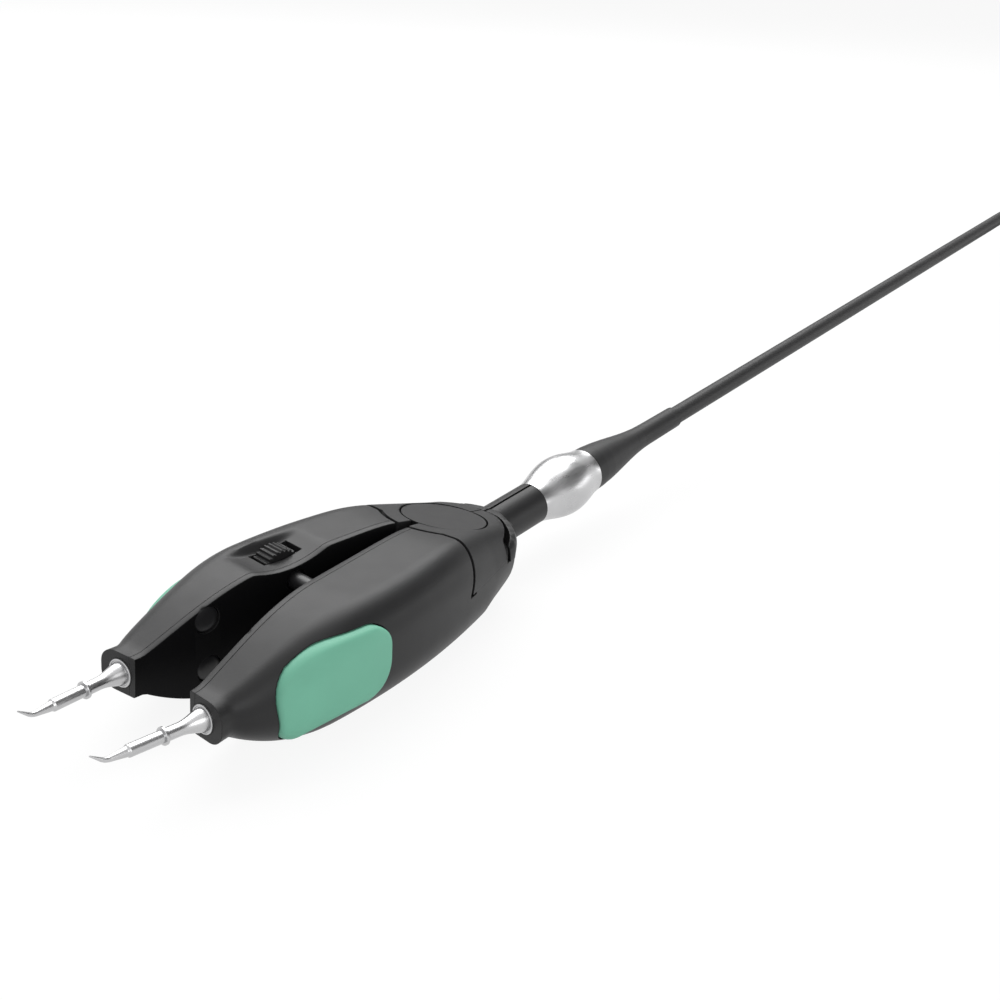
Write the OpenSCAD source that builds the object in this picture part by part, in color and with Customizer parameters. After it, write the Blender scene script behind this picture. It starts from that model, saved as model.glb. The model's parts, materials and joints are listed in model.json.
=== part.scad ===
// Soldering tweezers: two sprung arms on a common hinge, each with a heated cartridge and a bent tip.
// Millimetres, +Z up, tips toward -X, cable toward +X.
// The origin is where the hinge axis meets the surface the tool rests on.
// An arm is drawn closed, with its flat inner face on the middle plane, and is then swung open.

/* [Arms] */
// Angle that one arm stands open at rest
open_angle = 5.35; // [4:0.05:7]
// Distance from the hinge axis to the nose
arm_reach = 64.1; // [55:0.1:75]
// Height of the crown of an arm above the rest surface
crown_height = 19.6; // [17:0.1:23]
// Widest part of an arm, measured from its inner face
arm_width = 15.2; // [13:0.1:18]
// Distance of the widest part in front of the hinge
widest_reach = 26; // [20:0.5:32]
// Width of the nose
nose_width = 7.8; // [7:0.1:9]
// Height of the top of the nose
nose_top = 12.9; // [12:0.1:14]
// Height of the underside of the nose
nose_bottom = 6.3; // [5:0.1:6.6]
// Lean of the front face of the nose
nose_lean = -3.5; // [-6:0.5:6]
// Length over which the top climbs from the nose to the crown
rise_length = 25; // [20:0.5:32]
// Length over which the belly drops from the nose
belly_length = 18; // [14:0.5:24]
// Length of the flat part of the nose
nose_flat = 2.1; // [1:0.1:4]
// Rounding of the upper outer edge, across the arm
top_round_across = 5.5; // [3:0.1:7]
// Rounding of the upper outer edge, up the arm
top_round_up = 6; // [3:0.1:8]
// Rounding of the lower outer edge, across the arm
belly_round_across = 7; // [3:0.1:8]
// Rounding of the lower outer edge, up the arm
belly_round_up = 7.5; // [3:0.1:9]
// Thickness of the flat inner cover
inner_cover_thickness = 1.2; // [0.8:0.1:2]

/* [Hub] */
// Radius of the round rear end of the arms about the hinge
rear_radius = 13.2; // [12.8:0.1:14]
// Radius of the hub covers where they face the flange of the neck
slot_radius = 11; // [10.6:0.1:11.4]
// Height of the sloping top over the hinge axis
hub_top = 16.75; // [16:0.05:18]
// Slope of the top of the hub
hub_slope = 12; // [8:0.5:15]
// Radius of the pivot cap
cap_radius = 7.7; // [6.5:0.1:8]
// Radius of the foot below the hinge
foot_radius = 7; // [5.5:0.1:7.4]
// Radius of the hinge pin
pin_radius = 2; // [1.5:0.05:2.4]
// Height of the lower edge of the hub covers
hub_cover_bottom = 8.2; // [7.6:0.1:8.4]
// Distance of the hub cover seam in front of the hinge, on the side of the arm
hub_seam_reach = 9.8; // [8:0.1:10.2]
// Radius of the hub cover seam about the hinge, on top of the arm
hub_seam_radius = 11.6; // [10.5:0.1:12.5]

/* [Neck and cable] */
// Upward tilt of the neck and cable
neck_tilt = 4; // [0:0.5:8]
// Radius of the neck
neck_radius = 4.15; // [3.8:0.05:4.6]
// Distance from the hinge to the front edge of the ferrule
ferrule_reach = 27; // [24:0.5:32]
// Height of the neck axis at the front edge of the ferrule
ferrule_height = 10.5; // [10:0.1:11]
// Largest radius of the ferrule
ferrule_radius = 6.1; // [5.5:0.1:7]
// Length of the ferrule
ferrule_length = 18; // [16:0.5:22]
// Length of the boot behind the ferrule
boot_length = 36; // [30:0.5:42]
// Diameter of the cable
cable_diameter = 4; // [3.6:0.1:4.4]
// Half width of the flange in front of the neck
flange_half_width = 11; // [10:0.1:11.4]
// Mean radius of the coil of spare cable
coil_radius = 20; // [20:0.5:24]

/* [Grip and adjuster] */
// How far a grip pad stands proud of the arm
pad_proud = 0.8; // [0.4:0.1:1.2]
// Radius of the adjusting wheel over its ribs
wheel_radius = 4.1; // [3.7:0.1:4.3]
// Width of the adjusting wheel
wheel_width = 3.6; // [3:0.1:4]
// Depth of the wheel axis below the crown of the arm
wheel_depth = 4.2; // [3.9:0.1:4.5]
// Distance of the wheel axis in front of the hinge
wheel_reach = 33.5; // [32:0.1:35]
// Radius of the stop screw
stop_radius = 1.5; // [1.2:0.05:1.6]

/* [Cartridges] */
// Radius of the flared base of a cartridge
cartridge_base_radius = 1.75; // [1.5:0.05:1.9]
// Radius of the tube of a cartridge
cartridge_tube_radius = 1; // [0.8:0.05:1.2]
// Inward turn of a cartridge in its arm
cartridge_turn = 9.4; // [8:0.1:9.6]
// Upward tilt of a cartridge
cartridge_tilt = 3; // [1:0.1:4]
// Upward bend of the tip
tip_bend = 36; // [20:1:45]

/* [Hidden] */
$fn = 64;

// Colours
body_black = [0.13, 0.13, 0.14];
grip_green = [0.42, 0.68, 0.58];
satin_silver = [0.75, 0.76, 0.77];
steel = [0.62, 0.63, 0.65];
rubber_black = [0.1, 0.1, 0.1];

// Clearances
running_gap = 0.06;
swing_gap = 0.35;
seam_gap = 0.12;
inner_face = 0.15;
big = 200;

// Height of the wheel axis
wheel_height = crown_height - wheel_depth;

// Walls and heights inside the hub
floor_thickness = 1.8;
wall_thickness = 2.2;
lug_thickness = 1.4;
lug_gap = 0.2;
lug_radius = 4.2;
lower_lug_left = floor_thickness + lug_gap;
lower_lug_right = lower_lug_left + lug_thickness + lug_gap;
tongue_bottom = lower_lug_right + lug_thickness + lug_gap;
tongue_height = 3;
tongue_top = tongue_bottom + tongue_height;
spring_height = 1.8;
upper_lug_left = tongue_top + spring_height + lug_gap;
upper_lug_right = upper_lug_left + lug_thickness + lug_gap;
cap_bottom = upper_lug_right + lug_thickness + lug_gap;
hub_cavity_radius = slot_radius - wall_thickness;
tongue_half_width = 3.4;
flange_front_radius = slot_radius + 1.1;
flange_thickness = 1.5;
flange_rear_radius = flange_front_radius + flange_thickness;

// Shape of an arm, as heights and widths at a distance x along it

// Smooth lesser of two values
function soft_min(a, b, k) = -k * ln(exp(-a / k) + exp(-b / k));

// Share from 0 to 1 between two distances
function share(x, from, to) = min(1, max(0, (x - from) / (to - from)));

rise_start = nose_flat - arm_reach;

// Height of the top of an arm
function arm_top(x) =
    let (climb = pow(sin(90 * share(x, rise_start, rise_start + rise_length)), 1.1))
    soft_min(
        nose_top + (crown_height - nose_top) * climb,
        hub_top - x * tan(hub_slope),
        0.4
    );

// Height of the underside of an arm
function arm_bottom(x) =
    nose_bottom * pow(1 - share(x, rise_start, rise_start + belly_length), 2);

// Where the side of an arm runs into its round rear end
tail_turn = 30;
tail_x = rear_radius * sin(tail_turn);
tail_y = rear_radius * cos(tail_turn);

// Distance of the outer side of an arm from the middle plane
function arm_side(x) =
    x < -widest_reach
    ? nose_width + (arm_width - nose_width)
        * sin(90 * pow(share(x, rise_start, -widest_reach), 0.75))
    : x < tail_x
    ? tail_y + (arm_width - tail_y) * cos(90 * share(x, -widest_reach, tail_x))
    : sqrt(max(0.01, rear_radius * rear_radius - x * x));

corner_steps = 5;

// Outline of an arm across its length, grown outward by a set amount
function arm_section(x, grow) =
    let (
        low = arm_bottom(x) - grow,
        high = arm_top(x) + grow,
        side = arm_side(x) + grow,
        bluntness = 0.4 + 0.06 * share(x, rise_start, rise_start + belly_length),
        toward_rear = share(x, -widest_reach, tail_x),
        top_across = min(top_round_across, bluntness * side),
        round_rear = share(x, -4, tail_x),
        top_up = min(
            top_round_up + 3 * toward_rear,
            (bluntness + 0.07 * (toward_rear - round_rear)) * (high - low)
        ),
        low_across = min(belly_round_across, (bluntness + 0.25 * round_rear) * side),
        low_up = min(belly_round_up + 1.5 * round_rear, (bluntness + 0.08 * round_rear) * (high - low))
    )
    concat(
        [[x, 0, high], [x, 0, low]],
        [
            for (i = [0 : corner_steps])
                let (turn = 90 * i / corner_steps)
                [x, side - low_across + low_across * sin(turn), low + low_up - low_up * cos(turn)]
        ],
        [
            for (i = [0 : corner_steps])
                let (turn = 90 * i / corner_steps)
                [x, side - top_across + top_across * cos(turn), high - top_up + top_up * sin(turn)]
        ]
    );

// Closed skin through a list of rings that all have the same number of points
module skin(rings) {
    count = len(rings[0]);
    last = len(rings) - 1;
    polyhedron(
        points = [for (ring = rings) for (point = ring) point],
        faces = concat(
            [[for (i = [0 : count - 1]) i]],
            [
                for (r = [0 : last - 1]) for (i = [0 : count - 1]) for (half = [0, 1])
                    let (
                        a = r * count + i,
                        b = r * count + (i + 1) % count,
                        c = a + count,
                        d = b + count
                    )
                    half == 0 ? [a, c, b] : [b, c, d]
            ],
            [[for (i = [count - 1 : -1 : 0]) last * count + i]]
        )
    );
}

// Body of an arm between two distances
module arm_body(stations, grow = 0) {
    skin([for (x = stations) arm_section(x, grow)]);
}

front_stations = [for (i = [0 : 5]) -arm_reach - 2.1 + i * 1.6];
middle_stations = [for (i = [1 : 15]) -arm_reach + 6.2 + (arm_reach - 6.2 + tail_x) * i / 15];
rear_stations = [for (turn = [38 : 9 : 83]) rear_radius * sin(turn)];
all_stations = concat(front_stations, middle_stations, rear_stations);

// Side outline of an arm, as a plate standing on the middle plane
module side_plate(from_y, to_y, stations, top_inset = 0, low_inset = 0) {
    outline = concat(
        [for (x = stations) [x, arm_top(x) - top_inset]],
        [for (i = [len(stations) - 1 : -1 : 0]) [stations[i], arm_bottom(stations[i]) + low_inset]]
    );
    translate([0, to_y, 0])
        rotate([90, 0, 0])
            linear_extrude(to_y - from_y)
                polygon(outline);
}

// Region inside the outer side of an arm, as seen from above
module plan_region(inset, from_x, to_x, steps = 12) {
    xs = [for (i = [0 : steps]) from_x + (to_x - from_x) * i / steps];
    linear_extrude(big, center = true)
        polygon(concat(
            [[to_x, -1], [from_x, -1]],
            [for (x = xs) [x, arm_side(x) - inset]]
        ));
}

// Everything on the outer side of a plane that lies along an arm
module beyond(y) {
    translate([-big / 2, y, -big / 2])
        cube([big, big, big]);
}

// Front face of the nose, square to the cartridge as seen from above
module nose_cut() {
    translate([-arm_reach, 0, (nose_top + nose_bottom) / 2])
        rotate([0, -nose_lean, cartridge_turn])
            translate([-big, -big / 2, -big / 2])
                cube([big, big, big]);
}

// Wedge behind the hinge that lets the arms open without meeting
module rear_relief() {
    rotate([0, 0, open_angle])
        translate([0, -big + inner_face, -big / 2])
            cube([big, big, big]);
}

// Region of the hub cover, seen from above and ending part way down the side
module hub_cover_region(gap = 0) {
    translate([0, 0, hub_cover_bottom - gap])
        linear_extrude(big) {
            circle(hub_seam_radius + gap);
            translate([-hub_seam_reach - gap, 0])
                square([big, big]);
        }
}

// Opening at the rear through which the neck tongue reaches the pin
module tongue_window() {
    window = neck_radius + rear_radius * sin(open_angle) + swing_gap;
    translate([0, -1, tongue_bottom - swing_gap])
        cube([big, window + 1, tongue_height + 2 * swing_gap]);
}

// Space in the hub for the pin, lugs, cap and foot
module hub_space() {
    translate([0, 0, floor_thickness])
        cylinder(r = hub_cavity_radius, h = cap_bottom - floor_thickness);
    translate([0, 0, cap_bottom - 0.1])
        cylinder(r = cap_radius + swing_gap, h = big);
    translate([0, 0, -1])
        cylinder(r = foot_radius + swing_gap, h = floor_thickness + 2);
}

// Swing from the drawn position to the open rest position
module left_open() {
    rotate([0, 0, -open_angle])
        children();
}

module right_open() {
    mirror([0, 1, 0])
        left_open()
            children();
}

// Axis of a cartridge, along its own +X toward the tip
cartridge_start = [-arm_reach - 0.1, 3.3, 9.55];

module along_cartridge() {
    translate(cartridge_start)
        rotate([0, 0, 180 + cartridge_turn])
            rotate([0, -cartridge_tilt, 0])
                rotate([0, 90, 0])
                    children();
}

// Cover screws, one above the other near the nose
cover_screw_reach = 51;
cover_screw_heights = [nose_bottom - 0.3, crown_height - 4.9];
cover_screw_head_radius = 1.6;
cover_screw_hole_radius = 2;
cover_screw_shank_radius = 1;
cover_screw_length = 6;
boss_radius = 2.5;
boss_depth = 10;
cover_outer_face = inner_face + inner_cover_thickness;
head_seat = inner_face + 0.6;

module at_cover_screws(y) {
    for (height = cover_screw_heights)
        translate([-cover_screw_reach, y, height])
            rotate([-90, 0, 0])
                children();
}

// Grip pad outline on the side of an arm
pad_front = 57.3;
pad_rear = 36;
pad_low = 2.8;
pad_taper = 0.107;
pad_high = crown_height - 2.6;
pad_depth = 2.4;
pad_gap = 0.25;
// Corners as [along, up], from the upper rear one forward and round
pad_corners = [[4.3, 4.3], [11.7, 7], [2.7, 2.7], [5.3, 5.3]];

module pad_outline(gap = 0) {
    rotate([90, 0, 0])
        translate([0, 0, -big / 2])
            linear_extrude(big / 2 - cover_outer_face - 2)
                polygon([
                    for (corner = [0 : 3]) for (i = [0 : 6])
                        let (
                            turn = 90 * corner + 15 * i,
                            along = pad_corners[corner][0],
                            up = pad_corners[corner][1],
                            at_rear = corner == 0 || corner == 3,
                            x = (at_rear ? -pad_rear - along : -pad_front + along) + (along + gap) * cos(turn),
                            base = corner < 2 ? pad_high - up : pad_low + pad_taper * (x + pad_front) + up
                        )
                        [x, base + (up + gap) * sin(turn)]
                ]);
}

pad_stations = [for (i = [0 : 12]) -pad_front - 2 + (pad_front - pad_rear + 4) * i / 12];

// Hollow inside an arm
hollow_wall = 3.8;
hollow_front = 47.5;

module arm_hollow() {
    stations = [for (i = [0 : 10]) -hollow_front + (hollow_front - 1) * i / 10];
    intersection() {
        side_plate(-1, big, stations, wall_thickness, floor_thickness);
        plan_region(hollow_wall, -hollow_front, -1);
        beyond(0);
    }
}

// Blocks inside an arm that carry the hinge plate
plate_web_inner = 4.4;
plate_web_thickness = 1.4;
plate_web_front = 16;
plate_web_rear = 6.5;
plate_screw_reach = 13;
plate_screw_heights = [lower_lug_right + 1.8, upper_lug_left - 0.4];
plate_screw_radius = 0.9;
plate_screw_head_radius = 1.5;
plate_screw_length = 4.5;

module at_plate_screws(y) {
    for (height = plate_screw_heights)
        translate([-plate_screw_reach, y, height])
            rotate([-90, 0, 0])
                children();
}

module plate_block() {
    block_inner = plate_web_inner + plate_web_thickness;
    translate([-plate_web_front, block_inner, floor_thickness])
        cube([6, arm_side(-plate_screw_reach) - 2.5 - block_inner, upper_lug_left]);
}

// Finger scoop and slot for the adjusting wheel, on the left arm only
scoop_radius = 20;
scoop_depth = 1.6;
scoop_reach = 34.6;
scoop_width = 8.6;
wheel_inner = 3.9;
wheel_slot_length = 7.8;
wheel_slot_side = 0.3;
bracket_cheek = 1.2;
bracket_length = 8;
bracket_bottom = wheel_height - 5.2;
wheel_boss_radius = stop_radius + 0.45;
boss_room = 0.3;
stop_inner_end = -10.5;
stop_outer_end = 9.6;
stop_swing = 0.4;

module at_wheel(y, further = 0) {
    translate([-wheel_reach - further, y, wheel_height])
        rotate([-90, 0, 0])
            children();
}

module wheel_openings() {
    translate([-scoop_reach, -1, crown_height - scoop_depth + scoop_radius])
        rotate([-90, 0, 0])
            cylinder(r = scoop_radius, h = scoop_width + 1, $fn = 128);
    translate([-wheel_reach - wheel_slot_length / 2, wheel_inner - wheel_slot_side, wheel_height])
        cube([wheel_slot_length, wheel_width + 2 * wheel_slot_side, 10]);
    translate([-wheel_reach - wheel_boss_radius - boss_room, cover_outer_face, wheel_height])
        cube([
            2 * (wheel_boss_radius + boss_room),
            wheel_inner + wheel_width + bracket_cheek + 0.5 - cover_outer_face,
            wheel_boss_radius + boss_room
        ]);
}

stop_hole_left = stop_radius + 0.6;
stop_hole_right = stop_radius + 0.9;

// Arm pieces, drawn closed on the left

module arm_shell(with_wheel) {
    difference() {
        union() {
            difference() {
                arm_body(all_stations);
                arm_hollow();
            }
            intersection() {
                union() {
                    plate_block();
                    at_cover_screws(cover_outer_face)
                        cylinder(r = boss_radius, h = boss_depth);
                    if (with_wheel)
                        bracket_rest();
                }
                arm_body(all_stations);
            }
        }
        mirror([0, 1, 0])
            beyond(-cover_outer_face);
        nose_cut();
        rear_relief();
        hub_space();
        tongue_window();
        hub_cover_region(seam_gap);
        intersection() {
            pad_outline(pad_gap);
            difference() {
                beyond(0);
                plan_region(pad_depth, -pad_front - 3, -pad_rear + 3);
            }
        }
        nose_bores();
        at_cover_screws(0)
            cylinder(r = cover_screw_shank_radius, h = cover_screw_length + head_seat + 1);
        at_plate_screws(0)
            cylinder(r = plate_screw_radius, h = plate_web_inner + plate_screw_length);
        if (with_wheel)
            wheel_openings();
    }
}

// Ledge in the left arm that the wheel bracket sits on
module bracket_rest() {
    translate([-wheel_reach - bracket_length / 2, cover_outer_face, bracket_bottom - 1.5])
        cube([bracket_length, big, 1.5]);
}

seal_radius = 2.9;
seal_length = 1;
socket_radius = 2.3;
socket_length = 10;

// Bore in the nose for the seal and the cartridge socket
module nose_bores() {
    along_cartridge()
        translate([0, 0, -socket_length - 1])
            cylinder(r = socket_radius, h = socket_length + 6);
    along_cartridge()
        translate([0, 0, -seal_length])
            cylinder(r = seal_radius - 0.5, h = 6);
}

module arm_inner_cover(hole_radius, hole_shift, with_wheel) {
    difference() {
        side_plate(inner_face, cover_outer_face, all_stations);
        nose_cut();
        rear_relief();
        translate([-hub_seam_radius - seam_gap, -1, -1])
            cube([big, big, big]);
        at_cover_screws(0)
            cylinder(r = cover_screw_shank_radius + 0.15, h = 5);
        at_cover_screws(-1)
            cylinder(r = cover_screw_hole_radius, h = head_seat + 1);
        at_wheel(-1, hole_shift)
            cylinder(r = hole_radius, h = 5);
        nose_bores();
        if (with_wheel)
            wheel_openings();
    }
}

// Space behind a hub cover for the flange of the neck
flange_room_start = 3;

module flange_room() {
    difference() {
        translate([flange_room_start, -1, 0])
            cube([big, big, big]);
        translate([0, 0, -1])
            cylinder(r = slot_radius, h = big + 2);
    }
}

module arm_hub_cover() {
    difference() {
        intersection() {
            arm_body([for (x = all_stations) if (x > -hub_seam_radius - 6) x]);
            hub_cover_region();
        }
        mirror([0, 1, 0])
            beyond(-inner_face);
        rear_relief();
        hub_space();
        tongue_window();
        flange_room();
        translate([-hub_seam_radius - 2, -1, hub_cover_bottom - 1])
            cube([
                hub_seam_radius + 2,
                hub_cavity_radius + 1,
                cap_bottom - hub_cover_bottom + 1
            ]);
    }
}

module arm_grip_pad() {
    difference() {
        intersection() {
            arm_body(pad_stations, pad_proud);
            pad_outline();
        }
        plan_region(pad_depth, -pad_front - 3, -pad_rear + 3);
    }
}

module arm_nose_seal() {
    intersection() {
        along_cartridge()
            translate([0, 0, -seal_length])
                difference() {
                    cylinder(r = seal_radius - 0.5, h = seal_length + 1);
                    translate([0, 0, -1])
                        cylinder(r = cartridge_base_radius, h = seal_length + 3);
                }
        difference() {
            beyond(-5);
            nose_cut();
        }
    }
}

module arm_hinge_plate(lower, upper) {
    difference() {
        union() {
            for (height = [lower, upper])
                translate([0, 0, height])
                    linear_extrude(lug_thickness) {
                        circle(lug_radius);
                        translate([-plate_web_rear - 1, 0])
                            square([plate_web_rear + 1, lug_radius]);
                        translate([-plate_web_rear - 1, 0.8])
                            square([4, plate_web_inner + plate_web_thickness - 0.8]);
                    }
            translate([-plate_web_front, plate_web_inner, lower])
                cube([plate_web_front - plate_web_rear + 1, plate_web_thickness, upper + lug_thickness - lower]);
        }
        translate([0, 0, -1])
            cylinder(r = pin_radius + running_gap, h = big);
        at_plate_screws(0)
            cylinder(r = plate_screw_radius, h = 12);
    }
}

module arm_plate_screws() {
    at_plate_screws(plate_web_inner - 1)
        cylinder(r = plate_screw_head_radius, h = 1);
    at_plate_screws(plate_web_inner - 0.5)
        cylinder(r = plate_screw_radius, h = plate_screw_length + 0.5);
}

module arm_socket() {
    along_cartridge()
        difference() {
            translate([0, 0, -socket_length - 1])
                cylinder(r = socket_radius, h = socket_length + 1 - seal_length);
            translate([0, 0, -socket_length + 1])
                cylinder(r = cartridge_base_radius, h = socket_length);
        }
}

// Distances along a cartridge from the nose
flare_end = 4.2;
collar_at = 6.9;
cone_start = 13.3;
tip_length = 16;
tip_neck_radius = 0.5;

module arm_cartridge() {
    along_cartridge()
        rotate_extrude()
            polygon(concat(
                [
                    [0, -socket_length + 1],
                    [cartridge_base_radius, -socket_length + 1],
                    [cartridge_base_radius, 0.3],
                    [cartridge_base_radius - 0.2, 0.3]
                ],
                [
                    for (i = [0 : 6])
                        let (slide = i / 6)
                        [
                            cartridge_tube_radius
                                + (cartridge_base_radius - 0.2 - cartridge_tube_radius) * (1 + cos(180 * slide)) / 2,
                            0.6 + (flare_end - 0.6) * slide
                        ]
                ],
                [
                    [cartridge_tube_radius, collar_at + 0.8],
                    [0, collar_at + 0.8]
                ]
            ));
}

module arm_collar() {
    along_cartridge()
        translate([0, 0, collar_at])
            difference() {
                cylinder(r = cartridge_tube_radius + 0.3, h = 0.8);
                translate([0, 0, -1])
                    cylinder(r = cartridge_tube_radius, h = 3);
            }
}

module arm_tip() {
    along_cartridge() {
        translate([0, 0, collar_at + 0.8])
            cylinder(r = cartridge_tube_radius - 0.08, h = cone_start - collar_at - 0.8);
        translate([0, 0, cone_start])
            cylinder(r1 = cartridge_tube_radius - 0.08, r2 = tip_neck_radius, h = tip_length - cone_start);
        translate([0, 0, tip_length])
            sphere(r = tip_neck_radius, $fn = 48);
        translate([0, 0, tip_length])
            rotate([0, -tip_bend, 0])
                cylinder(r1 = tip_neck_radius, r2 = 0.14, h = 3.2);
    }
}

module arm_cover_screws() {
    difference() {
        union() {
            at_cover_screws(head_seat - 0.5)
                cylinder(r = cover_screw_head_radius, h = 0.5);
            at_cover_screws(head_seat - 0.2)
                cylinder(r = cover_screw_shank_radius, h = cover_screw_length);
        }
        at_cover_screws(head_seat - 1)
            cylinder(r = 0.7, h = 0.8, $fn = 6);
    }
}

// Adjuster on the left arm

module left_wheel_bracket() {
    difference() {
        translate([-wheel_reach - bracket_length / 2, wheel_inner - 0.2 - bracket_cheek, bracket_bottom])
            cube([
                bracket_length,
                wheel_width + 0.4 + 2 * bracket_cheek,
                wheel_height + wheel_boss_radius - bracket_bottom - 0.3
            ]);
        translate([-wheel_reach - big / 2, wheel_inner - 0.2, bracket_bottom + 0.8])
            cube([big, wheel_width + 0.4, big]);
        at_wheel(0)
            cylinder(r = wheel_boss_radius + running_gap, h = 20);
    }
}

rib_count = 28;
rib_depth = 0.35;

module left_adjust_wheel() {
    at_wheel(wheel_inner)
        difference() {
            union() {
                linear_extrude(wheel_width)
                    polygon([
                        for (i = [0 : 4 * rib_count - 1])
                            let (
                                radius = wheel_radius - (i % 4 < 2 ? 0 : rib_depth),
                                turn = 360 * i / (4 * rib_count)
                            )
                            [radius * cos(turn), radius * sin(turn)]
                    ]);
                translate([0, 0, -0.2 - bracket_cheek])
                    cylinder(r = wheel_boss_radius, h = wheel_width + 0.4 + 2 * bracket_cheek);
            }
            translate([0, 0, -10])
                cylinder(r = stop_radius + running_gap, h = 30);
        }
}

module left_stop_screw() {
    at_wheel(stop_inner_end)
        cylinder(r = stop_radius, h = stop_outer_end - stop_inner_end);
}

// Hub, fixed to the neck

module hinge_pin() {
    color(steel)
        translate([0, 0, 0.8])
            cylinder(r = pin_radius, h = cap_bottom + 0.7);
}

// Everything below the sloping top of the hub, raised by a set amount
module below_slope(rise = 0) {
    translate([0, 0, hub_top + rise])
        rotate([0, hub_slope, 0])
            translate([-big / 2, -big / 2, -big])
                cube([big, big, big]);
}

module pivot_cap() {
    color(body_black)
        difference() {
            intersection() {
                translate([0, 0, cap_bottom])
                    cylinder(r = cap_radius, h = 10);
                below_slope();
            }
            cylinder(r = pin_radius, h = cap_bottom + 1.5);
        }
}

module pivot_foot() {
    color(body_black)
        difference() {
            cylinder(r = foot_radius, h = floor_thickness);
            translate([0, 0, 0.8])
                cylinder(r = pin_radius, h = 10);
        }
}

// Along the neck axis from the front edge of the ferrule, with +Z toward the rear
module along_neck() {
    translate([ferrule_reach, 0, ferrule_height])
        rotate([0, 90 - neck_tilt, 0])
            children();
}

spigot_radius = 3.3;
spigot_length = 8;
wire_bore = 2;
fillet = 3.2;
flange_drop = 0.8;
flange_rim = 0.3;
flange_roll_in = 4.5;
flange_roll_down = 6;
neck_overlap = 1.5;
split_gap = 0.36;
neck_length = ferrule_reach - flange_rear_radius + 1.4;
flange_base = hub_cover_bottom + swing_gap;
flange_height = hub_top - flange_base;

// Outline of the flange, looking along the neck
module flange_outline() {
    polygon([
        for (turn = [0 : 7.5 : 180])
            [
                flange_base + flange_height * pow(abs(sin(turn)), 0.5),
                flange_half_width * sign(cos(turn)) * pow(abs(cos(turn)), 0.5)
            ]
    ]);
}

// Round disc along the sloping top of the hub, whose rim rolls down as the arms do
module flange_rounding() {
    rim = flange_rear_radius + flange_rim;
    translate([0, 0, hub_top - flange_drop])
        rotate([0, hub_slope, 0])
            rotate_extrude()
                polygon(concat(
                    [[0, 0], [0, -2 * hub_top], [rim, -2 * hub_top]],
                    [
                        for (turn = [0 : 7.5 : 90])
                            [
                                rim - flange_roll_in + flange_roll_in * cos(turn),
                                -flange_roll_down + flange_roll_down * sin(turn)
                            ]
                    ]
                ));
}

// Fillet between the neck and the flange, turned about the neck
module neck_fillet() {
    root = -neck_length - neck_overlap;
    along_neck()
        rotate_extrude()
            polygon(concat(
                [[0, fillet - neck_length], [0, root], [neck_radius + fillet, root]],
                [
                    for (turn = [0 : 7.5 : 90])
                        [
                            neck_radius + fillet - fillet * sin(turn),
                            -neck_length + fillet - fillet * cos(turn)
                        ]
                ]
            ));
}

// Flange that wraps the rear of the arms, with the fillet of the neck on it
module flange() {
    intersection() {
        union() {
            intersection() {
                cylinder(r = flange_rear_radius, h = 30);
                flange_rounding();
            }
            intersection() {
                neck_fillet();
                below_slope(-flange_drop);
            }
        }
        rotate([0, -90, 0])
            mirror([0, 0, 1])
                linear_extrude(40)
                    flange_outline();
    }
}

// Neck with its flange and its tongue, before it is split along the middle
module neck_body() {
    difference() {
        union() {
            difference() {
                union() {
                    flange();
                    along_neck() {
                        translate([0, 0, -neck_length - neck_overlap])
                            cylinder(r = neck_radius, h = neck_length + neck_overlap);
                        translate([0, 0, -1])
                            cylinder(r = spigot_radius, h = spigot_length + 1);
                    }
                }
                translate([0, 0, -1])
                    cylinder(r = flange_front_radius, h = 40);
            }
            translate([0, 0, tongue_bottom])
                cylinder(r = tongue_half_width, h = tongue_height);
            translate([0, -tongue_half_width, tongue_bottom])
                cube([flange_front_radius + 0.8, 2 * tongue_half_width, tongue_height]);
        }
        cylinder(r = pin_radius, h = 30);
        difference() {
            along_neck()
                translate([0, 0, -neck_length - 6])
                    cylinder(r = wire_bore, h = 40);
            cylinder(r = tongue_half_width + 1, h = 30);
        }
        translate([flange_front_radius, -split_gap / 2, ferrule_height])
            cube([ferrule_reach - flange_front_radius, split_gap, 20]);
    }
}

module neck_left() {
    color(body_black)
        intersection() {
            neck_body();
            beyond(0);
        }
}

module neck_right() {
    color(body_black)
        intersection() {
            neck_body();
            mirror([0, 1, 0])
                beyond(0);
        }
}

// Torsion spring round the pin, with one leg toward each arm
spring_wire = 0.25;
spring_coil = 2.7;
spring_turns = 2;
spring_leg = 6;
spring_pitch = (spring_height - 2 * spring_wire - 0.1) / (spring_turns + 0.5);

function spring_point(turn) =
    [
        spring_coil * cos(turn + 90),
        spring_coil * sin(turn + 90),
        tongue_top + spring_wire + spring_pitch * turn / 360
    ];

module return_spring() {
    path = concat(
        [spring_point(0) - [spring_leg, 0, 0]],
        [for (turn = [0 : 20 : 360 * spring_turns + 180]) spring_point(turn)],
        [spring_point(360 * spring_turns + 180) - [spring_leg, 0, 0]]
    );
    color(steel)
        tube(path, spring_wire, 8);
}

// Tube through a list of points

function unit(v) = v / norm(v);

function path_direction(path, i) =
    unit(path[min(i + 1, len(path) - 1)] - path[max(i - 1, 0)]);

function ring_at(path, i, radius, sides) =
    let (
        ahead = path_direction(path, i),
        across = unit(cross([0, 0, 1], ahead)),
        up = cross(ahead, across)
    )
    [
        for (s = [0 : sides - 1])
            path[i] + radius * (across * cos(360 * s / sides) + up * sin(360 * s / sides))
    ];

module tube(path, radius, sides) {
    skin([for (i = [0 : len(path) - 1]) ring_at(path, i, radius, sides)]);
}

ferrule_end_step = 0.7;

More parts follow.
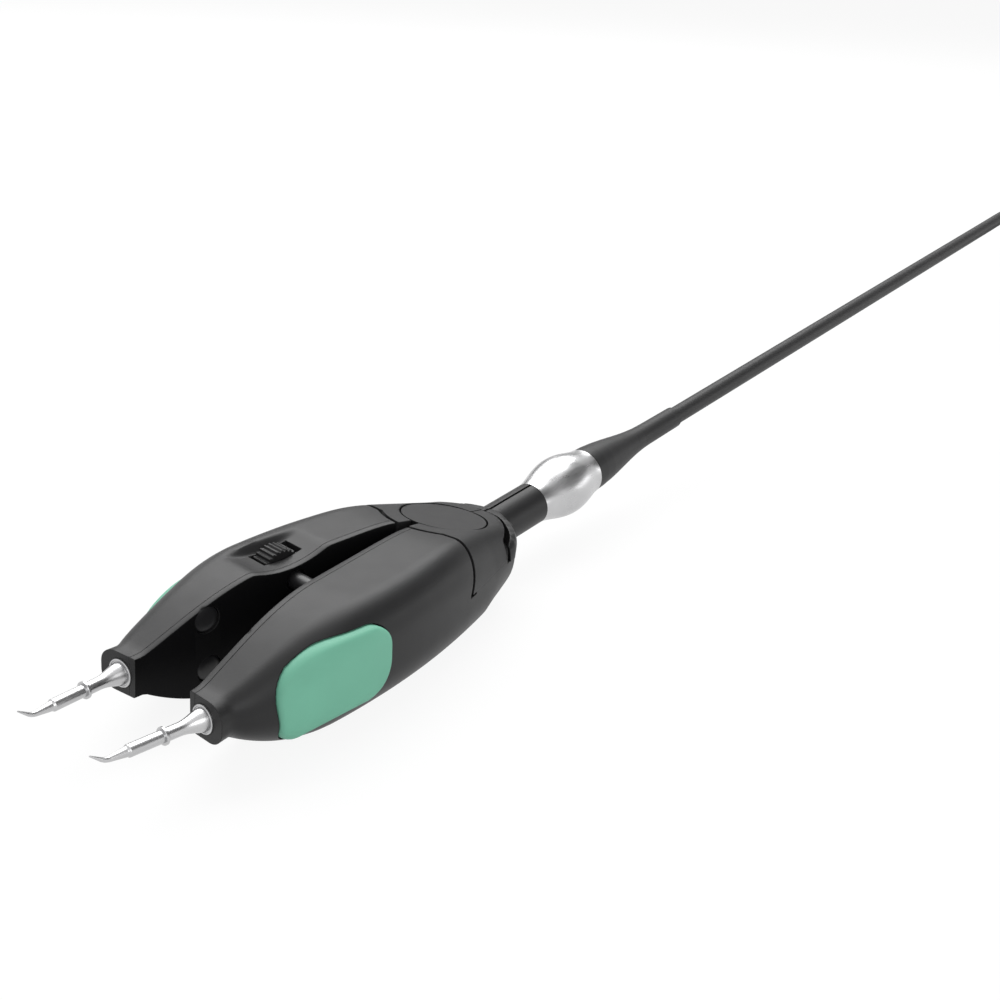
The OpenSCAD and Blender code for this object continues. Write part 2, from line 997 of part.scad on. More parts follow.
module ferrule() {
    profile = [
        for (i = [0 : 14])
            let (slide = i / 14)
            [
                neck_radius + ferrule_end_step * slide
                    + (ferrule_radius - neck_radius - ferrule_end_step / 2)
                        * pow(sin(180 * pow(slide, 1.1)), 1.5),
                ferrule_length * slide
            ]
    ];
    color(satin_silver)
        along_neck()
            difference() {
                rotate_extrude()
                    polygon(concat([[0, 0]], profile, [[0, ferrule_length]]));
                translate([0, 0, -1])
                    cylinder(r = spigot_radius, h = ferrule_length + 2);
            }
}

clamp_length = 4;

module cable_clamp() {
    color(steel)
        along_neck()
            translate([0, 0, spigot_length])
                difference() {
                    cylinder(r = spigot_radius, h = clamp_length);
                    translate([0, 0, -1])
                        cylinder(r = cable_diameter / 2, h = clamp_length + 2);
                }
}

boot_start = spigot_length + clamp_length;
boot_end = ferrule_length + boot_length;
boot_front_radius = neck_radius + ferrule_end_step - 0.1;
boot_end_radius = cable_diameter / 2 + 0.35;

module strain_relief() {
    color(rubber_black)
        along_neck()
            difference() {
                rotate_extrude()
                    polygon(concat(
                        [
                            [0, boot_start],
                            [spigot_radius, boot_start],
                            [spigot_radius, ferrule_length]
                        ],
                        [
                            for (i = [0 : 12])
                                let (
                                    slide = i / 12,
                                    taper = 0.45 + 0.45 * cos(180 * min(1, slide / 0.66)) + 0.1 * (1 - slide)
                                )
                                [
                                    boot_end_radius + (boot_front_radius - boot_end_radius) * taper,
                                    ferrule_length + boot_length * slide
                                ]
                        ],
                        [[0, boot_end]]
                    ));
                translate([0, 0, -1])
                    cylinder(r = cable_diameter / 2, h = boot_end + 2);
            }
}

// Route of the cable: straight out of the neck, down to the surface past the view, then onto the coil
neck_direction = [cos(neck_tilt), 0, sin(neck_tilt)];
neck_start = [ferrule_reach, 0, ferrule_height];
cable_rest = cable_diameter / 2;
coil_centre = [378, -11];
coil_pitch = cable_diameter - 0.1;
coil_columns = 3;
coil_rows = 4;
coil_outer = coil_radius + coil_pitch;
coil_side = coil_centre[1] + coil_outer;
plug_height = 6;
route = [
    neck_start + spigot_length * neck_direction,
    neck_start + 60 * neck_direction,
    neck_start + 120 * neck_direction,
    neck_start + 175 * neck_direction,
    neck_start + 220 * neck_direction,
    neck_start + 250 * neck_direction,
    neck_start + 275 * neck_direction,
    [322, 1, 29],
    [341, 5, 24.5],
    [359, 10, 18.5],
    [coil_centre[0], coil_side, cable_rest + (coil_rows - 1) * coil_pitch]
];
tail_route = [
    [coil_centre[0], coil_side, cable_rest],
    [coil_centre[0] + 12, coil_side, cable_rest + 0.4],
    [coil_centre[0] + 24, coil_side, cable_rest + 2.2],
    [coil_centre[0] + 35, coil_side, plug_height],
    [coil_centre[0] + 40, coil_side, plug_height]
];

// Smooth curve through the points of a route
function curve_point(p, i, s) =
    let (
        a = p[max(i - 1, 0)],
        b = p[i],
        c = p[i + 1],
        d = p[min(i + 2, len(p) - 1)]
    )
    0.5 * (2 * b + (c - a) * s + (2 * a - 5 * b + 4 * c - d) * s * s + (3 * b - a - 3 * c + d) * s * s * s);

function curve(p, steps) =
    concat(
        [for (i = [0 : len(p) - 2]) for (k = [0 : steps - 1]) curve_point(p, i, k / steps)],
        [p[len(p) - 1]]
    );

module cable() {
    color(rubber_black) {
        tube(curve(route, 5), cable_diameter / 2, 12);
        tube(curve(tail_route, 4), cable_diameter / 2, 12);
    }
}

module cable_coil() {
    color(rubber_black)
        translate([coil_centre[0], coil_centre[1], 0])
            for (column = [-1 : 1]) for (row = [0 : coil_rows - 1])
                translate([0, 0, cable_rest + row * coil_pitch])
                    rotate_extrude()
                        translate([coil_radius + column * coil_pitch, 0])
                            circle(cable_diameter / 2, $fn = 32);
}

tie_thickness = 0.8;
tie_width = 4;

module coil_tie() {
    bundle = coil_columns * cable_diameter;
    stack = coil_rows * cable_diameter;
    color(rubber_black)
        translate([coil_centre[0] + coil_radius, coil_centre[1], 0])
            difference() {
                translate([-bundle / 2 - tie_thickness, -tie_width / 2, 0])
                    cube([bundle + 2 * tie_thickness, tie_width, stack + tie_thickness]);
                translate([-bundle / 2, -tie_width, -1])
                    cube([bundle, 2 * tie_width, stack + 1]);
            }
}

// Round plug on the end of the cable
plug_at = tail_route[4];
plug_radius = plug_height;
plug_wall = 1;
plug_body_length = 16;
plug_ring_start = 9;
plug_ring_length = 15;
plug_taper = 6;
plug_entry = 2;
plug_pin_circle = 2.6;
plug_pin_radius = 0.5;
plug_pin_length = 6;

module along_plug() {
    translate(plug_at)
        rotate([0, 90, 0])
            children();
}

module plug_body() {
    color(rubber_black)
        along_plug()
            difference() {
                rotate_extrude()
                    polygon([
                        [0, -plug_entry],
                        [cable_diameter * 0.8, -plug_entry],
                        [plug_radius - plug_wall, plug_taper],
                        [plug_radius - plug_wall, plug_body_length],
                        [0, plug_body_length]
                    ]);
                translate([0, 0, -2 * plug_entry])
                    cylinder(r = cable_diameter / 2, h = 2 * plug_entry);
            }
}

module plug_ring() {
    color(satin_silver)
        along_plug()
            translate([0, 0, plug_ring_start])
                difference() {
                    cylinder(r = plug_radius, h = plug_ring_length);
                    translate([0, 0, -1])
                        cylinder(r = plug_radius - plug_wall, h = plug_ring_length + 2);
                }
}

module plug_pins() {
    color(steel)
        along_plug() {
            for (turn = [0 : 60 : 300])
                rotate([0, 0, turn])
                    translate([plug_pin_circle, 0, plug_body_length])
                        cylinder(r = plug_pin_radius, h = plug_pin_length, $fn = 24);
        }
}

// Left and right pieces

module shell_left() {
    color(body_black) left_open() arm_shell(true);
}

module shell_right() {
    color(body_black) right_open() arm_shell(false);
}

module inner_cover_left() {
    color(body_black) left_open() arm_inner_cover(stop_hole_left, 0, true);
}

module inner_cover_right() {
    color(body_black) right_open() arm_inner_cover(stop_hole_right, stop_swing, false);
}

module hub_cover_left() {
    color(body_black) left_open() arm_hub_cover();
}

module hub_cover_right() {
    color(body_black) right_open() arm_hub_cover();
}

module grip_pad_left() {
    color(grip_green) left_open() arm_grip_pad();
}

module grip_pad_right() {
    color(grip_green) right_open() arm_grip_pad();
}

module nose_seal_left() {
    color(rubber_black) left_open() arm_nose_seal();
}

module nose_seal_right() {
    color(rubber_black) right_open() arm_nose_seal();
}

module hinge_plate_left() {
    color(steel) left_open() arm_hinge_plate(lower_lug_left, upper_lug_left);
}

module hinge_plate_right() {
    color(steel) right_open() arm_hinge_plate(lower_lug_right, upper_lug_right);
}

module plate_screws_left() {
    color(steel) left_open() arm_plate_screws();
}

module plate_screws_right() {
    color(steel) right_open() arm_plate_screws();
}

module socket_left() {
    color(steel) left_open() arm_socket();
}

module socket_right() {
    color(steel) right_open() arm_socket();
}

module cartridge_left() {
    color(satin_silver) left_open() arm_cartridge();
}

module cartridge_right() {
    color(satin_silver) right_open() arm_cartridge();
}

module collar_left() {
    color(satin_silver) left_open() arm_collar();
}

module collar_right() {
    color(satin_silver) right_open() arm_collar();
}

module tip_left() {
    color(satin_silver) left_open() arm_tip();
}

module tip_right() {
    color(satin_silver) right_open() arm_tip();
}

module cover_screws_left() {
    color(steel) left_open() arm_cover_screws();
}

module cover_screws_right() {
    color(steel) right_open() arm_cover_screws();
}

module wheel_bracket() {
    color(body_black) left_open() left_wheel_bracket();
}

module adjust_wheel() {
    color(body_black) left_open() left_adjust_wheel();
}

module stop_screw() {
    color(steel) left_open() left_stop_screw();
}

hinge_pin();
pivot_cap();
pivot_foot();
neck_left();
neck_right();
return_spring();
ferrule();
cable_clamp();
strain_relief();
cable();
cable_coil();
coil_tie();
plug_body();
plug_ring();
plug_pins();
shell_left();
inner_cover_left();
hub_cover_left();
grip_pad_left();
nose_seal_left();
hinge_plate_left();
plate_screws_left();
socket_left();
cartridge_left();
collar_left();
tip_left();
cover_screws_left();
wheel_bracket();
adjust_wheel();
stop_screw();
shell_right();
inner_cover_right();
hub_cover_right();
grip_pad_right();
nose_seal_right();
hinge_plate_right();
plate_screws_right();
socket_right();
cartridge_right();
collar_right();
tip_right();
cover_screws_right();
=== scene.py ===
"""Soldering tweezers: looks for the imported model.

Lengths are in millimetres in the shape functions and in metres in the scene.
An arm is drawn closed, with its inner face on the middle plane, and is then swung open,
as in the part's source.
"""

import json
import math

import bmesh
import bpy
from mathutils import Matrix, Vector


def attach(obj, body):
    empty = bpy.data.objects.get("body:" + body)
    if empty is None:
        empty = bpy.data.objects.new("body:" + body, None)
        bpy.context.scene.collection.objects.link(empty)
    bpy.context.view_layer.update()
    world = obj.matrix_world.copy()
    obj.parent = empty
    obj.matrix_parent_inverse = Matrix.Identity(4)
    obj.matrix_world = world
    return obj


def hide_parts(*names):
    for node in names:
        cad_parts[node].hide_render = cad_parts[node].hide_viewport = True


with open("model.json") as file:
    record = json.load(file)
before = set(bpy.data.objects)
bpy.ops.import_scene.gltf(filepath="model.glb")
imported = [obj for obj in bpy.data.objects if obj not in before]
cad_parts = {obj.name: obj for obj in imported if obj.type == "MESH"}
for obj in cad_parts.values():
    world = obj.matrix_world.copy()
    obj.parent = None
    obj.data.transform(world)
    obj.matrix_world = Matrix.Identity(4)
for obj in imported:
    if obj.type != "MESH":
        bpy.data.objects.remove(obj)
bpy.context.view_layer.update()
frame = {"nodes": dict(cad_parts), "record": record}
scene = bpy.context.scene
MM = 0.001
SIDES = ("left", "right")
WHEEL_SIDE = "left"

# Sizes are in millimetres and angles in degrees. Many repeat the part's source.

# Arm housings
OPEN_ANGLE = 5.35
ARM_REACH = 64.1
ARM_WIDTH = 15.2
WIDEST_REACH = 26
WIDTH_POWER = 0.75
CROWN_HEIGHT = 19.6
CROWN_SOFTNESS = 0.4
NOSE_WIDTH = 7.4
NOSE_TOP = 12.9
NOSE_BOTTOM = 6.3
NOSE_LEAN = -3.5
NOSE_FLAT = 1.5
NOSE_SPARE = 2.1
NOSE_BORE_RADIUS = 2.4
NOSE_BORE_START = -11
NOSE_BORE_END = 8
RISE_START = NOSE_FLAT - ARM_REACH
RISE_LENGTH = 25
RISE_POWER = 1.1
BELLY_LENGTH = 18
REAR_RADIUS = 13.2
REAR_LIFT = 4
REAR_LIFT_START = 3
REAR_LIFT_SHARE = 0.97
TAIL_TURN = 30
TAIL_X = REAR_RADIUS * math.sin(math.radians(TAIL_TURN))
TAIL_Y = REAR_RADIUS * math.cos(math.radians(TAIL_TURN))
STATION_STEP = 0.8
STATION_LAST = 5
REAR_STATION_TURNS = range(24, 87, 3)
FLOOR = 1.8
SLOT_RADIUS = 11
SLOT_WALL = 2.2
SWING_GAP = 0.35

# Corners of an arm's outline: largest sizes, with what they gain toward the rear
TOP_ACROSS = 5.5
TOP_UP = 6
TOP_UP_GAIN = 3
LOW_ACROSS = 7
LOW_ACROSS_GAIN = 1.5
LOW_UP = 7.5
LOW_UP_GAIN = 3.5
ROUND_REAR_START = -4
BELLY_LEAST = 0.02

# The same corners as shares of the width and height of the arm
CORNER_SHARE = 0.4
CORNER_SHARE_GAIN = 0.06
TOP_UP_SHARE_GAIN = 0.07
TOP_UP_SHARE_LOSS = 0.17
LOW_ACROSS_SHARE_GAIN = 0.25
LOW_UP_SHARE_GAIN = 0.17

# Points of an arm's outline, in the order in which it runs
INNER_POINTS = 6
BELLY_POINTS = 6
CORNER_POINTS = 12
SIDE_POINTS = 5
TOP_POINTS = 26
OUTER_START = INNER_POINTS + BELLY_POINTS
TOP_START = OUTER_START + CORNER_POINTS + SIDE_POINTS + CORNER_POINTS

# Thumb hollow, wheel and stop
SCOOP_REACH = 34.6
SCOOP_RADIUS = 20
SCOOP_DEPTH = 1.6
SCOOP_SOFTNESS = 0.12
HOLLOW_WIDTH = 8.6
HOLLOW_EDGE = 0.8
WHEEL_REACH = 33.5
WHEEL_HEIGHT = 15.4
WHEEL_SLOT_HALF = 3.9
WHEEL_SLOT_INNER = 3.6
WHEEL_SLOT_OUTER = 7.8
WHEEL_SLOT_BOTTOM = 10.5
STOP_HOLE_RADIUS = {"left": 2.1, "right": 2.4}
STOP_HOLE_SHIFT = {"left": 0, "right": 0.4}
STOP_HOLE_LENGTH = 5

# Inner covers and their screws
INNER_FACE = 0.15
COVER_OUTER_FACE = 1.35
COVER_OVERLAP = 0.05
COVER_EDGE = 0.35
COVER_BEVEL = 0.1
COVER_END_GAP = 0.12
# How squarely an inner cover's face must face the gap to get painted shade
GAP_SHADE_FACING = 0.8
SCREW_REACH = 51
SCREW_HEIGHTS = (6, 14.7)
SCREW_HOLE_RADIUS = 2.3
SCREW_HOLE_LENGTH = 1.75
HOLE_START = -1

# Hub covers, cap and foot
HUB_TOP = 16.75
HUB_SLOPE = 12
HUB_COVER_BOTTOM = 10.5
HUB_COVER_SPARE = 6
HUB_SEAM_REACH = 9.8
HUB_SEAM_RADIUS = 11.6
HUB_SEAM_LEAN = 0.3
HUB_SEAM_GAP = 0.9
HUB_SEAM_STEPS = 16
SEAM_FOOT_LENGTH = 2.2
SEAM_FOOT_INNER = 11
SEAM_FOOT_OUTER = 20
SEAM_FOOT_DROP = 0.4
CAP_RADIUS = 7.7
CAP_BOTTOM = 13.4
FOOT_RADIUS = 7
FOOT_ROOM = 2
CUT_OVERLAP = 0.1

# Grip pads. Corners are (along, up), from the upper rear one forward and round
PAD_FRONT = -57.3
PAD_REAR = -36
PAD_TOPS = {"left": 15.2, "right": 17}
PAD_LOW = 2.8
PAD_TAPER = 0.107
PAD_SLANT = 1.3
PAD_SLANT_TOP = 13
PAD_PROUD = 0.8
PAD_CORNERS = [(4.3, 4.3), (11.7, 7), (2.7, 2.7), (5.3, 5.3)]
PAD_CORNER_LEAST = 0.5
PAD_CORNER_STEPS = 12
PAD_TOP_MARGIN = 0.25
PAD_LOW_MARGIN = 0.05
PAD_ROOM = [(-0.22, -0.7), (-0.22, 3.0)]

# Cartridges, measured along their axis from the nose
CARTRIDGE_START = (-ARM_REACH - 0.1, 3.3, 9.55)
CARTRIDGE_TURN = 9.4
CARTRIDGE_TILT = 3
CARTRIDGE_ROOT = -9
CARTRIDGE_ROOT_RADIUS = 1.7
FACE_AT = 0.46
FACE_DEPTH = 0.14
FLARE_RADIUS = 1.85
FLARE_END = 4.8
FLARE_POWER = 0.8
FLARE_STEPS = 24
TUBE_RADIUS = 1
TUBE_OVERLAP = 0.2
COLLAR_AT = 6.95
TIP_START = COLLAR_AT + 0.4
TIP_TUBE_RADIUS = TUBE_RADIUS - 0.03
SHOULDER = 12.9
SHOULDER_LENGTH = 0.15
SHOULDER_DROP = 0.16
POINT_RADIUS = 0.8
POINT_TAPER = 0.37
POINT_END_TAPER = 0.33
BEND_START = 15.9
BEND_BEFORE = 0.5
BEND_AFTER = 1.1
TIP_BEND = 36
TIP_END = 19.2
TIP_STEP = 0.1

# Neck, tongue, flange and ferrule
NECK_TILT = 4
NECK_START = Vector((27, 0, 10.5))
NECK_RADIUS = 4.15
NECK_FILLET = 2.4
NECK_FILLET_STEPS = 9
NECK_FILLET_LOW = (-0.3, 0.2)
NECK_FILLET_HIGH = (0.85, 0.45)
NECK_ROOT = 0.5
NECK_STEPS = 96
NECK_SINK = 0.15
NECK_OVERLAP = 0.4
SPLIT_GAP = 0.5
PIN_RADIUS = 2
TONGUE_BOTTOM = 5.2
TONGUE_TOP = 8.2
TONGUE_HALF_WIDTH = 3.4
TONGUE_OVERLAP = 0.6
TONGUE_INSET = 0.05
# Arcs of the tongue's eye as (radius, first angle, last angle)
TONGUE_EYE = [(TONGUE_HALF_WIDTH, 90, 174), (PIN_RADIUS, 171, 9)]
TONGUE_EYE_STEPS = 24
FLANGE_START = 2
FLANGE_INNER = 12.1
FLANGE_OUTER = 13.2
FLANGE_BASE = 9.9
FLANGE_GROW = 0.1
FLANGE_RISE = 3
FLANGE_DROP = 0.4
FLANGE_TURN = 67
FLANGE_END_TURN = 30
FLANGE_WIDEN = 0.9
FLANGE_CORNER = 0.6
FLANGE_ROOM_TURN = 76.5
FLANGE_ROOM_STEPS = 120
SLOT_END_TURN = 5
SLOT_END_ROUND = 1.3
FERRULE_RADIUS = 6.1
FERRULE_LENGTH = 18
FERRULE_BORE = 3.35
FERRULE_WIDEN = 0.7
FERRULE_LEAN_POWER = 1.1
FERRULE_SWELL_POWER = 1.5
FERRULE_STEPS = 60

# Cable. A lane of the coil is (column, row)
CABLE_DIAMETER = 4
COIL_CENTRE = (378, -11)
COIL_RADIUS = 20
COIL_PITCH = 4.02
COIL_LANES = [
    (1, 3), (0, 3), (-1, 3), (-1, 2), (0, 2), (1, 2),
    (1, 1), (0, 1), (-1, 1), (-1, 0), (0, 0), (1, 0),
]

# How far cutters reach past the pieces
SPARE = 5
FAR = 40
HIGH = 60


# Forms

def share(x, start, end):
    return min(1.0, max(0.0, (x - start) / (end - start)))


def eased(x):
    """A share that starts and ends gently."""
    return x * x * (3 - 2 * x)


def soft_min(a, b, k):
    return -k * math.log(math.exp(-a / k) + math.exp(-b / k))


def arm_top(x):
    climb = math.sin(math.pi / 2 * share(x, RISE_START, RISE_START + RISE_LENGTH)) ** RISE_POWER
    slope = HUB_TOP - x * math.tan(math.radians(HUB_SLOPE))
    return soft_min(NOSE_TOP + (CROWN_HEIGHT - NOSE_TOP) * climb, slope, CROWN_SOFTNESS)


def arm_bottom(x):
    rear = share(x, REAR_LIFT_START, REAR_RADIUS)
    lift = REAR_LIFT * (1 - math.sqrt(1 - REAR_LIFT_SHARE * rear ** 2))
    return NOSE_BOTTOM * (1 - share(x, RISE_START, RISE_START + BELLY_LENGTH)) ** 2 + lift


def arm_side(x):
    if x < -WIDEST_REACH:
        along = share(x, RISE_START, -WIDEST_REACH) ** WIDTH_POWER
        return NOSE_WIDTH + (ARM_WIDTH - NOSE_WIDTH) * math.sin(math.pi / 2 * along)
    if x < TAIL_X:
        return TAIL_Y + (ARM_WIDTH - TAIL_Y) * math.cos(math.pi / 2 * share(x, -WIDEST_REACH, TAIL_X))
    return math.sqrt(max(0.01, REAR_RADIUS ** 2 - x * x))


def spread(start, end, steps):
    return [start + (end - start) * i / steps for i in range(steps)]


def hollow(x, y):
    """How far the thumb hollow lies below the top of the left arm."""
    along = x + SCOOP_REACH
    if abs(along) >= SCOOP_RADIUS:
        return 0.0
    floor = CROWN_HEIGHT - SCOOP_DEPTH + SCOOP_RADIUS - math.sqrt(SCOOP_RADIUS ** 2 - along ** 2)
    over = min(60, (arm_top(x) - floor) / SCOOP_SOFTNESS)
    depth = SCOOP_SOFTNESS * math.log(1 + math.exp(over))
    return depth * (1 - eased(share(y, HOLLOW_WIDTH - HOLLOW_EDGE, HOLLOW_WIDTH + HOLLOW_EDGE)))


def arm_ring(x, grow, inner, hollowed=False):
    """Outline of an arm across its length, from the inner top corner round under the arm and back."""
    low, high, side = arm_bottom(x) - grow, arm_top(x) + grow, arm_side(x) + grow
    tall = high - low
    blunt = CORNER_SHARE + CORNER_SHARE_GAIN * share(x, RISE_START, RISE_START + BELLY_LENGTH)
    toward_rear = share(x, -WIDEST_REACH, TAIL_X)
    round_rear = share(x, ROUND_REAR_START, TAIL_X)
    top_share = blunt + TOP_UP_SHARE_GAIN * toward_rear - TOP_UP_SHARE_LOSS * round_rear
    top_across = min(TOP_ACROSS, blunt * side)
    top_up = min(TOP_UP + TOP_UP_GAIN * toward_rear, top_share * tall)
    low_across = min(
        LOW_ACROSS + LOW_ACROSS_GAIN * round_rear, (blunt + LOW_ACROSS_SHARE_GAIN * round_rear) * side,
    )
    low_up = min(LOW_UP + LOW_UP_GAIN * round_rear, (blunt + LOW_UP_SHARE_GAIN * round_rear) * tall)
    inner = min(inner, side - max(top_across, low_across) - BELLY_LEAST)
    turns = [math.pi / 2 * i / CORNER_POINTS for i in range(CORNER_POINTS)]
    ring = [(inner, z) for z in spread(high, low, INNER_POINTS)]
    ring += [(y, low) for y in spread(inner, side - low_across, BELLY_POINTS)]
    for turn in turns:
        y = side - low_across + low_across * math.sin(turn)
        ring.append((y, low + low_up - low_up * math.cos(turn)))
    ring += [(side, z) for z in spread(low + low_up, high - top_up, SIDE_POINTS)]
    for turn in turns:
        y = side - top_across + top_across * math.cos(turn)
        ring.append((y, high - top_up + top_up * math.sin(turn)))
    ring += [(y, high) for y in spread(side - top_across, inner, TOP_POINTS)]
    if hollowed:
        ring[0] = (inner, high - hollow(x, inner))
        ring[TOP_START:] = [(y, z - hollow(x, y)) for y, z in ring[TOP_START:]]
    return [(x, y, z) for y, z in ring]


def stations(start, end, step):
    count = max(2, round((end - start) / step))
    return [start + (end - start) * i / count for i in range(count + 1)]


ALL_STATIONS = stations(-ARM_REACH - NOSE_SPARE, STATION_LAST, STATION_STEP) + [
    REAR_RADIUS * math.sin(math.radians(turn)) for turn in REAR_STATION_TURNS
]


def skin(rings):
    """A closed mesh through rings that have the same number of points."""
    mesh = bmesh.new()
    rows = [[mesh.verts.new(p) for p in ring] for ring in rings]
    count = len(rings[0])
    for first, second in zip(rows, rows[1:]):
        for i in range(count):
            j = (i + 1) % count
            mesh.faces.new((first[i], first[j], second[j], second[i]))
    mesh.faces.new(rows[0][::-1])
    mesh.faces.new(rows[-1])
    bmesh.ops.recalc_face_normals(mesh, faces=mesh.faces)
    return mesh


def prism(outline, low, high):
    """A closed upright prism over a plan outline."""
    return skin([[(x, y, low) for x, y in outline], [(x, y, high) for x, y in outline]])


def block(low, high):
    (x0, y0, z0), (x1, y1, z1) = low, high
    return prism([(x0, y0), (x1, y0), (x1, y1), (x0, y1)], z0, z1)


def circle(radius, steps):
    turns = [2 * math.pi * i / steps for i in range(steps)]
    return [(radius * math.cos(a), radius * math.sin(a)) for a in turns]


def drum(radius, low, high, steps=96):
    return prism(circle(radius, steps), low, high)


def moved(mesh, matrix):
    bmesh.ops.transform(mesh, matrix=matrix, verts=mesh.verts)
    return mesh


def turned(profile, matrix, steps=72):
    """A turned piece from its outline as (radius, distance along the axis)."""
    return moved(skin([[(x, y, z) for x, y in circle(r, steps)] for r, z in profile]), matrix)


def cut_plane(mesh, point, normal):
    """Removes what lies on the side that the normal points to, and closes the cut."""
    cut = bmesh.ops.bisect_plane(
        mesh, geom=mesh.verts[:] + mesh.edges[:] + mesh.faces[:],
        plane_co=point, plane_no=normal, clear_outer=True,
    )
    edges = [e for e in cut["geom_cut"] if isinstance(e, bmesh.types.BMEdge)]
    bmesh.ops.holes_fill(mesh, edges=edges)
    return mesh


def to_object(name, mesh):
    data = bpy.data.meshes.new(name)
    bmesh.ops.recalc_face_normals(mesh, faces=mesh.faces)
    mesh.to_mesh(data)
    mesh.free()
    made = bpy.data.objects.new(name, data)
    scene.collection.objects.link(made)
    return made


def carve(target, cutters, operation="DIFFERENCE"):
    """Booleans with each cutter in turn, applied to the mesh."""
    for cutter in cutters:
        tool = to_object("cutter", cutter)
        change = target.modifiers.new("cut", "BOOLEAN")
        change.operation = operation
        change.solver = "EXACT"
        change.object = tool
        graph = bpy.context.evaluated_depsgraph_get()
        data = bpy.data.meshes.new_from_object(target.evaluated_get(graph))
        target.modifiers.clear()
        old = target.data
        target.data = data
        data.name = target.name
        bpy.data.meshes.remove(old)
        bpy.data.objects.remove(tool)


def settle(made, side, body, replaced, smooth=32):
    """Swings an arm piece open on its side, turns it to metres and lets it ride on its body."""
    swing = Matrix.Rotation(math.radians(-OPEN_ANGLE), 4, "Z")
    if side == "right":
        swing = Matrix.Diagonal((1, -1, 1, 1)) @ swing
    made.data.transform(Matrix.Diagonal((MM, MM, MM, 1)) @ swing)
    if side == "right":
        made.data.flip_normals()
    made.data.shade_smooth()
    made.data.set_sharp_from_angle(angle=math.radians(smooth))
    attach(made, body)
    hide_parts(replaced)


# Places and cutters on an arm, drawn closed on the left

def along_cartridge():
    turn = Matrix.Rotation(math.radians(180 + CARTRIDGE_TURN), 4, "Z")
    tilt = Matrix.Rotation(math.radians(-CARTRIDGE_TILT), 4, "Y")
    lay = Matrix.Rotation(math.radians(90), 4, "Y")
    return Matrix.Translation(CARTRIDGE_START) @ turn @ tilt @ lay


def crosswise(reach, y, height):
    return Matrix.Translation((-reach, y, height)) @ Matrix.Rotation(math.radians(-90), 4, "X")


def hub_region(gap):
    """Where the hub cover sits. Its front edge leans forward toward the bottom."""
    radius, reach = HUB_SEAM_RADIUS + gap, HUB_SEAM_REACH + gap
    last = math.atan2(math.sqrt(radius ** 2 - reach ** 2), -reach)
    arc = [math.pi + (last - math.pi) * i / HUB_SEAM_STEPS for i in range(HUB_SEAM_STEPS + 1)]
    outline = [(radius * math.cos(a), radius * math.sin(a)) for a in arc]
    outline += [(-reach, FAR), (FAR, FAR), (FAR, -2 * SPARE), (-radius, -2 * SPARE)]
    lean = Matrix.Identity(4)
    lean[0][2] = HUB_SEAM_LEAN
    lean[0][3] = -HUB_SEAM_LEAN * HUB_TOP
    return moved(prism(outline, HUB_COVER_BOTTOM, HIGH), lean)


def seam_turn():
    """Short turn to the rear at the foot of the hub seam."""
    start = -HUB_SEAM_REACH - HUB_SEAM_LEAN * (HUB_TOP - HUB_COVER_BOTTOM) - HUB_SEAM_GAP
    return block(
        (start, SEAM_FOOT_INNER, HUB_COVER_BOTTOM - SEAM_FOOT_DROP),
        (start + SEAM_FOOT_LENGTH, SEAM_FOOT_OUTER, HUB_COVER_BOTTOM + CUT_OVERLAP),
    )


def flange_room(low):
    """Room behind the hinge that the flange of the neck takes up, rounded at its ends."""
    turns = []
    for i in range(FLANGE_ROOM_STEPS + 1):
        turns.append(math.radians(-FLANGE_ROOM_TURN + 2 * FLANGE_ROOM_TURN * i / FLANGE_ROOM_STEPS))
    outline = []
    for turn in turns:
        end = share(abs(math.degrees(turn)), FLANGE_ROOM_TURN - SLOT_END_TURN, FLANGE_ROOM_TURN)
        radius = SLOT_RADIUS + SLOT_END_ROUND * end * end
        outline.append((radius * math.cos(turn), radius * math.sin(turn)))
    outline += [(FAR * math.cos(turn), FAR * math.sin(turn)) for turn in reversed(turns)]
    return prism(outline, low, HIGH)


def wheel_slot():
    return block(
        (-WHEEL_REACH - WHEEL_SLOT_HALF, WHEEL_SLOT_INNER, WHEEL_SLOT_BOTTOM),
        (-WHEEL_REACH + WHEEL_SLOT_HALF, WHEEL_SLOT_OUTER, HIGH),
    )


def nose_bore():
    return moved(drum(NOSE_BORE_RADIUS, NOSE_BORE_START, NOSE_BORE_END, 64), along_cartridge())


def neck_window():
    half = NECK_RADIUS + REAR_RADIUS * math.sin(math.radians(OPEN_ANGLE)) + SWING_GAP
    return block((0, -SPARE, TONGUE_BOTTOM - SWING_GAP), (FAR, half, TONGUE_TOP + SWING_GAP))


def cut_nose(mesh):
    lean, turn = math.radians(NOSE_LEAN), math.radians(CARTRIDGE_TURN)
    out = (-math.cos(lean) * math.cos(turn), -math.cos(lean) * math.sin(turn), -math.sin(lean))
    return cut_plane(mesh, (-ARM_REACH, 0, (NOSE_TOP + NOSE_BOTTOM) / 2), out)


def rear_inner(x, inner):
    return max(inner, x * math.tan(math.radians(OPEN_ANGLE)) + INNER_FACE)


# Materials. Scales are per metre

TONE_SCALE = {"plastic": 90, "metal": 160}
ROUGHNESS_SCALE = {"plastic": 300, "metal": 900}
GRAIN_SCALE = {"plastic": 3800, "metal": 1400}
METAL_GRAIN = 0.02
GRAIN_DEPTH = 0.0001


def link(tree, a, b):
    tree.links.new(a, b)


def add(tree, kind, **values):
    made = tree.nodes.new(kind)
    for key, value in values.items():
        if key in made.inputs:
            made.inputs[key].default_value = value
        else:
            setattr(made, key, value)
    return made


def blank(name):
    made = bpy.data.materials.new(name)
    made.use_nodes = True
    tree = made.node_tree
    shader = tree.nodes["Principled BSDF"]
    place = tree.nodes.new("ShaderNodeTexCoord")
    return made, tree, shader, place.outputs["Object"]


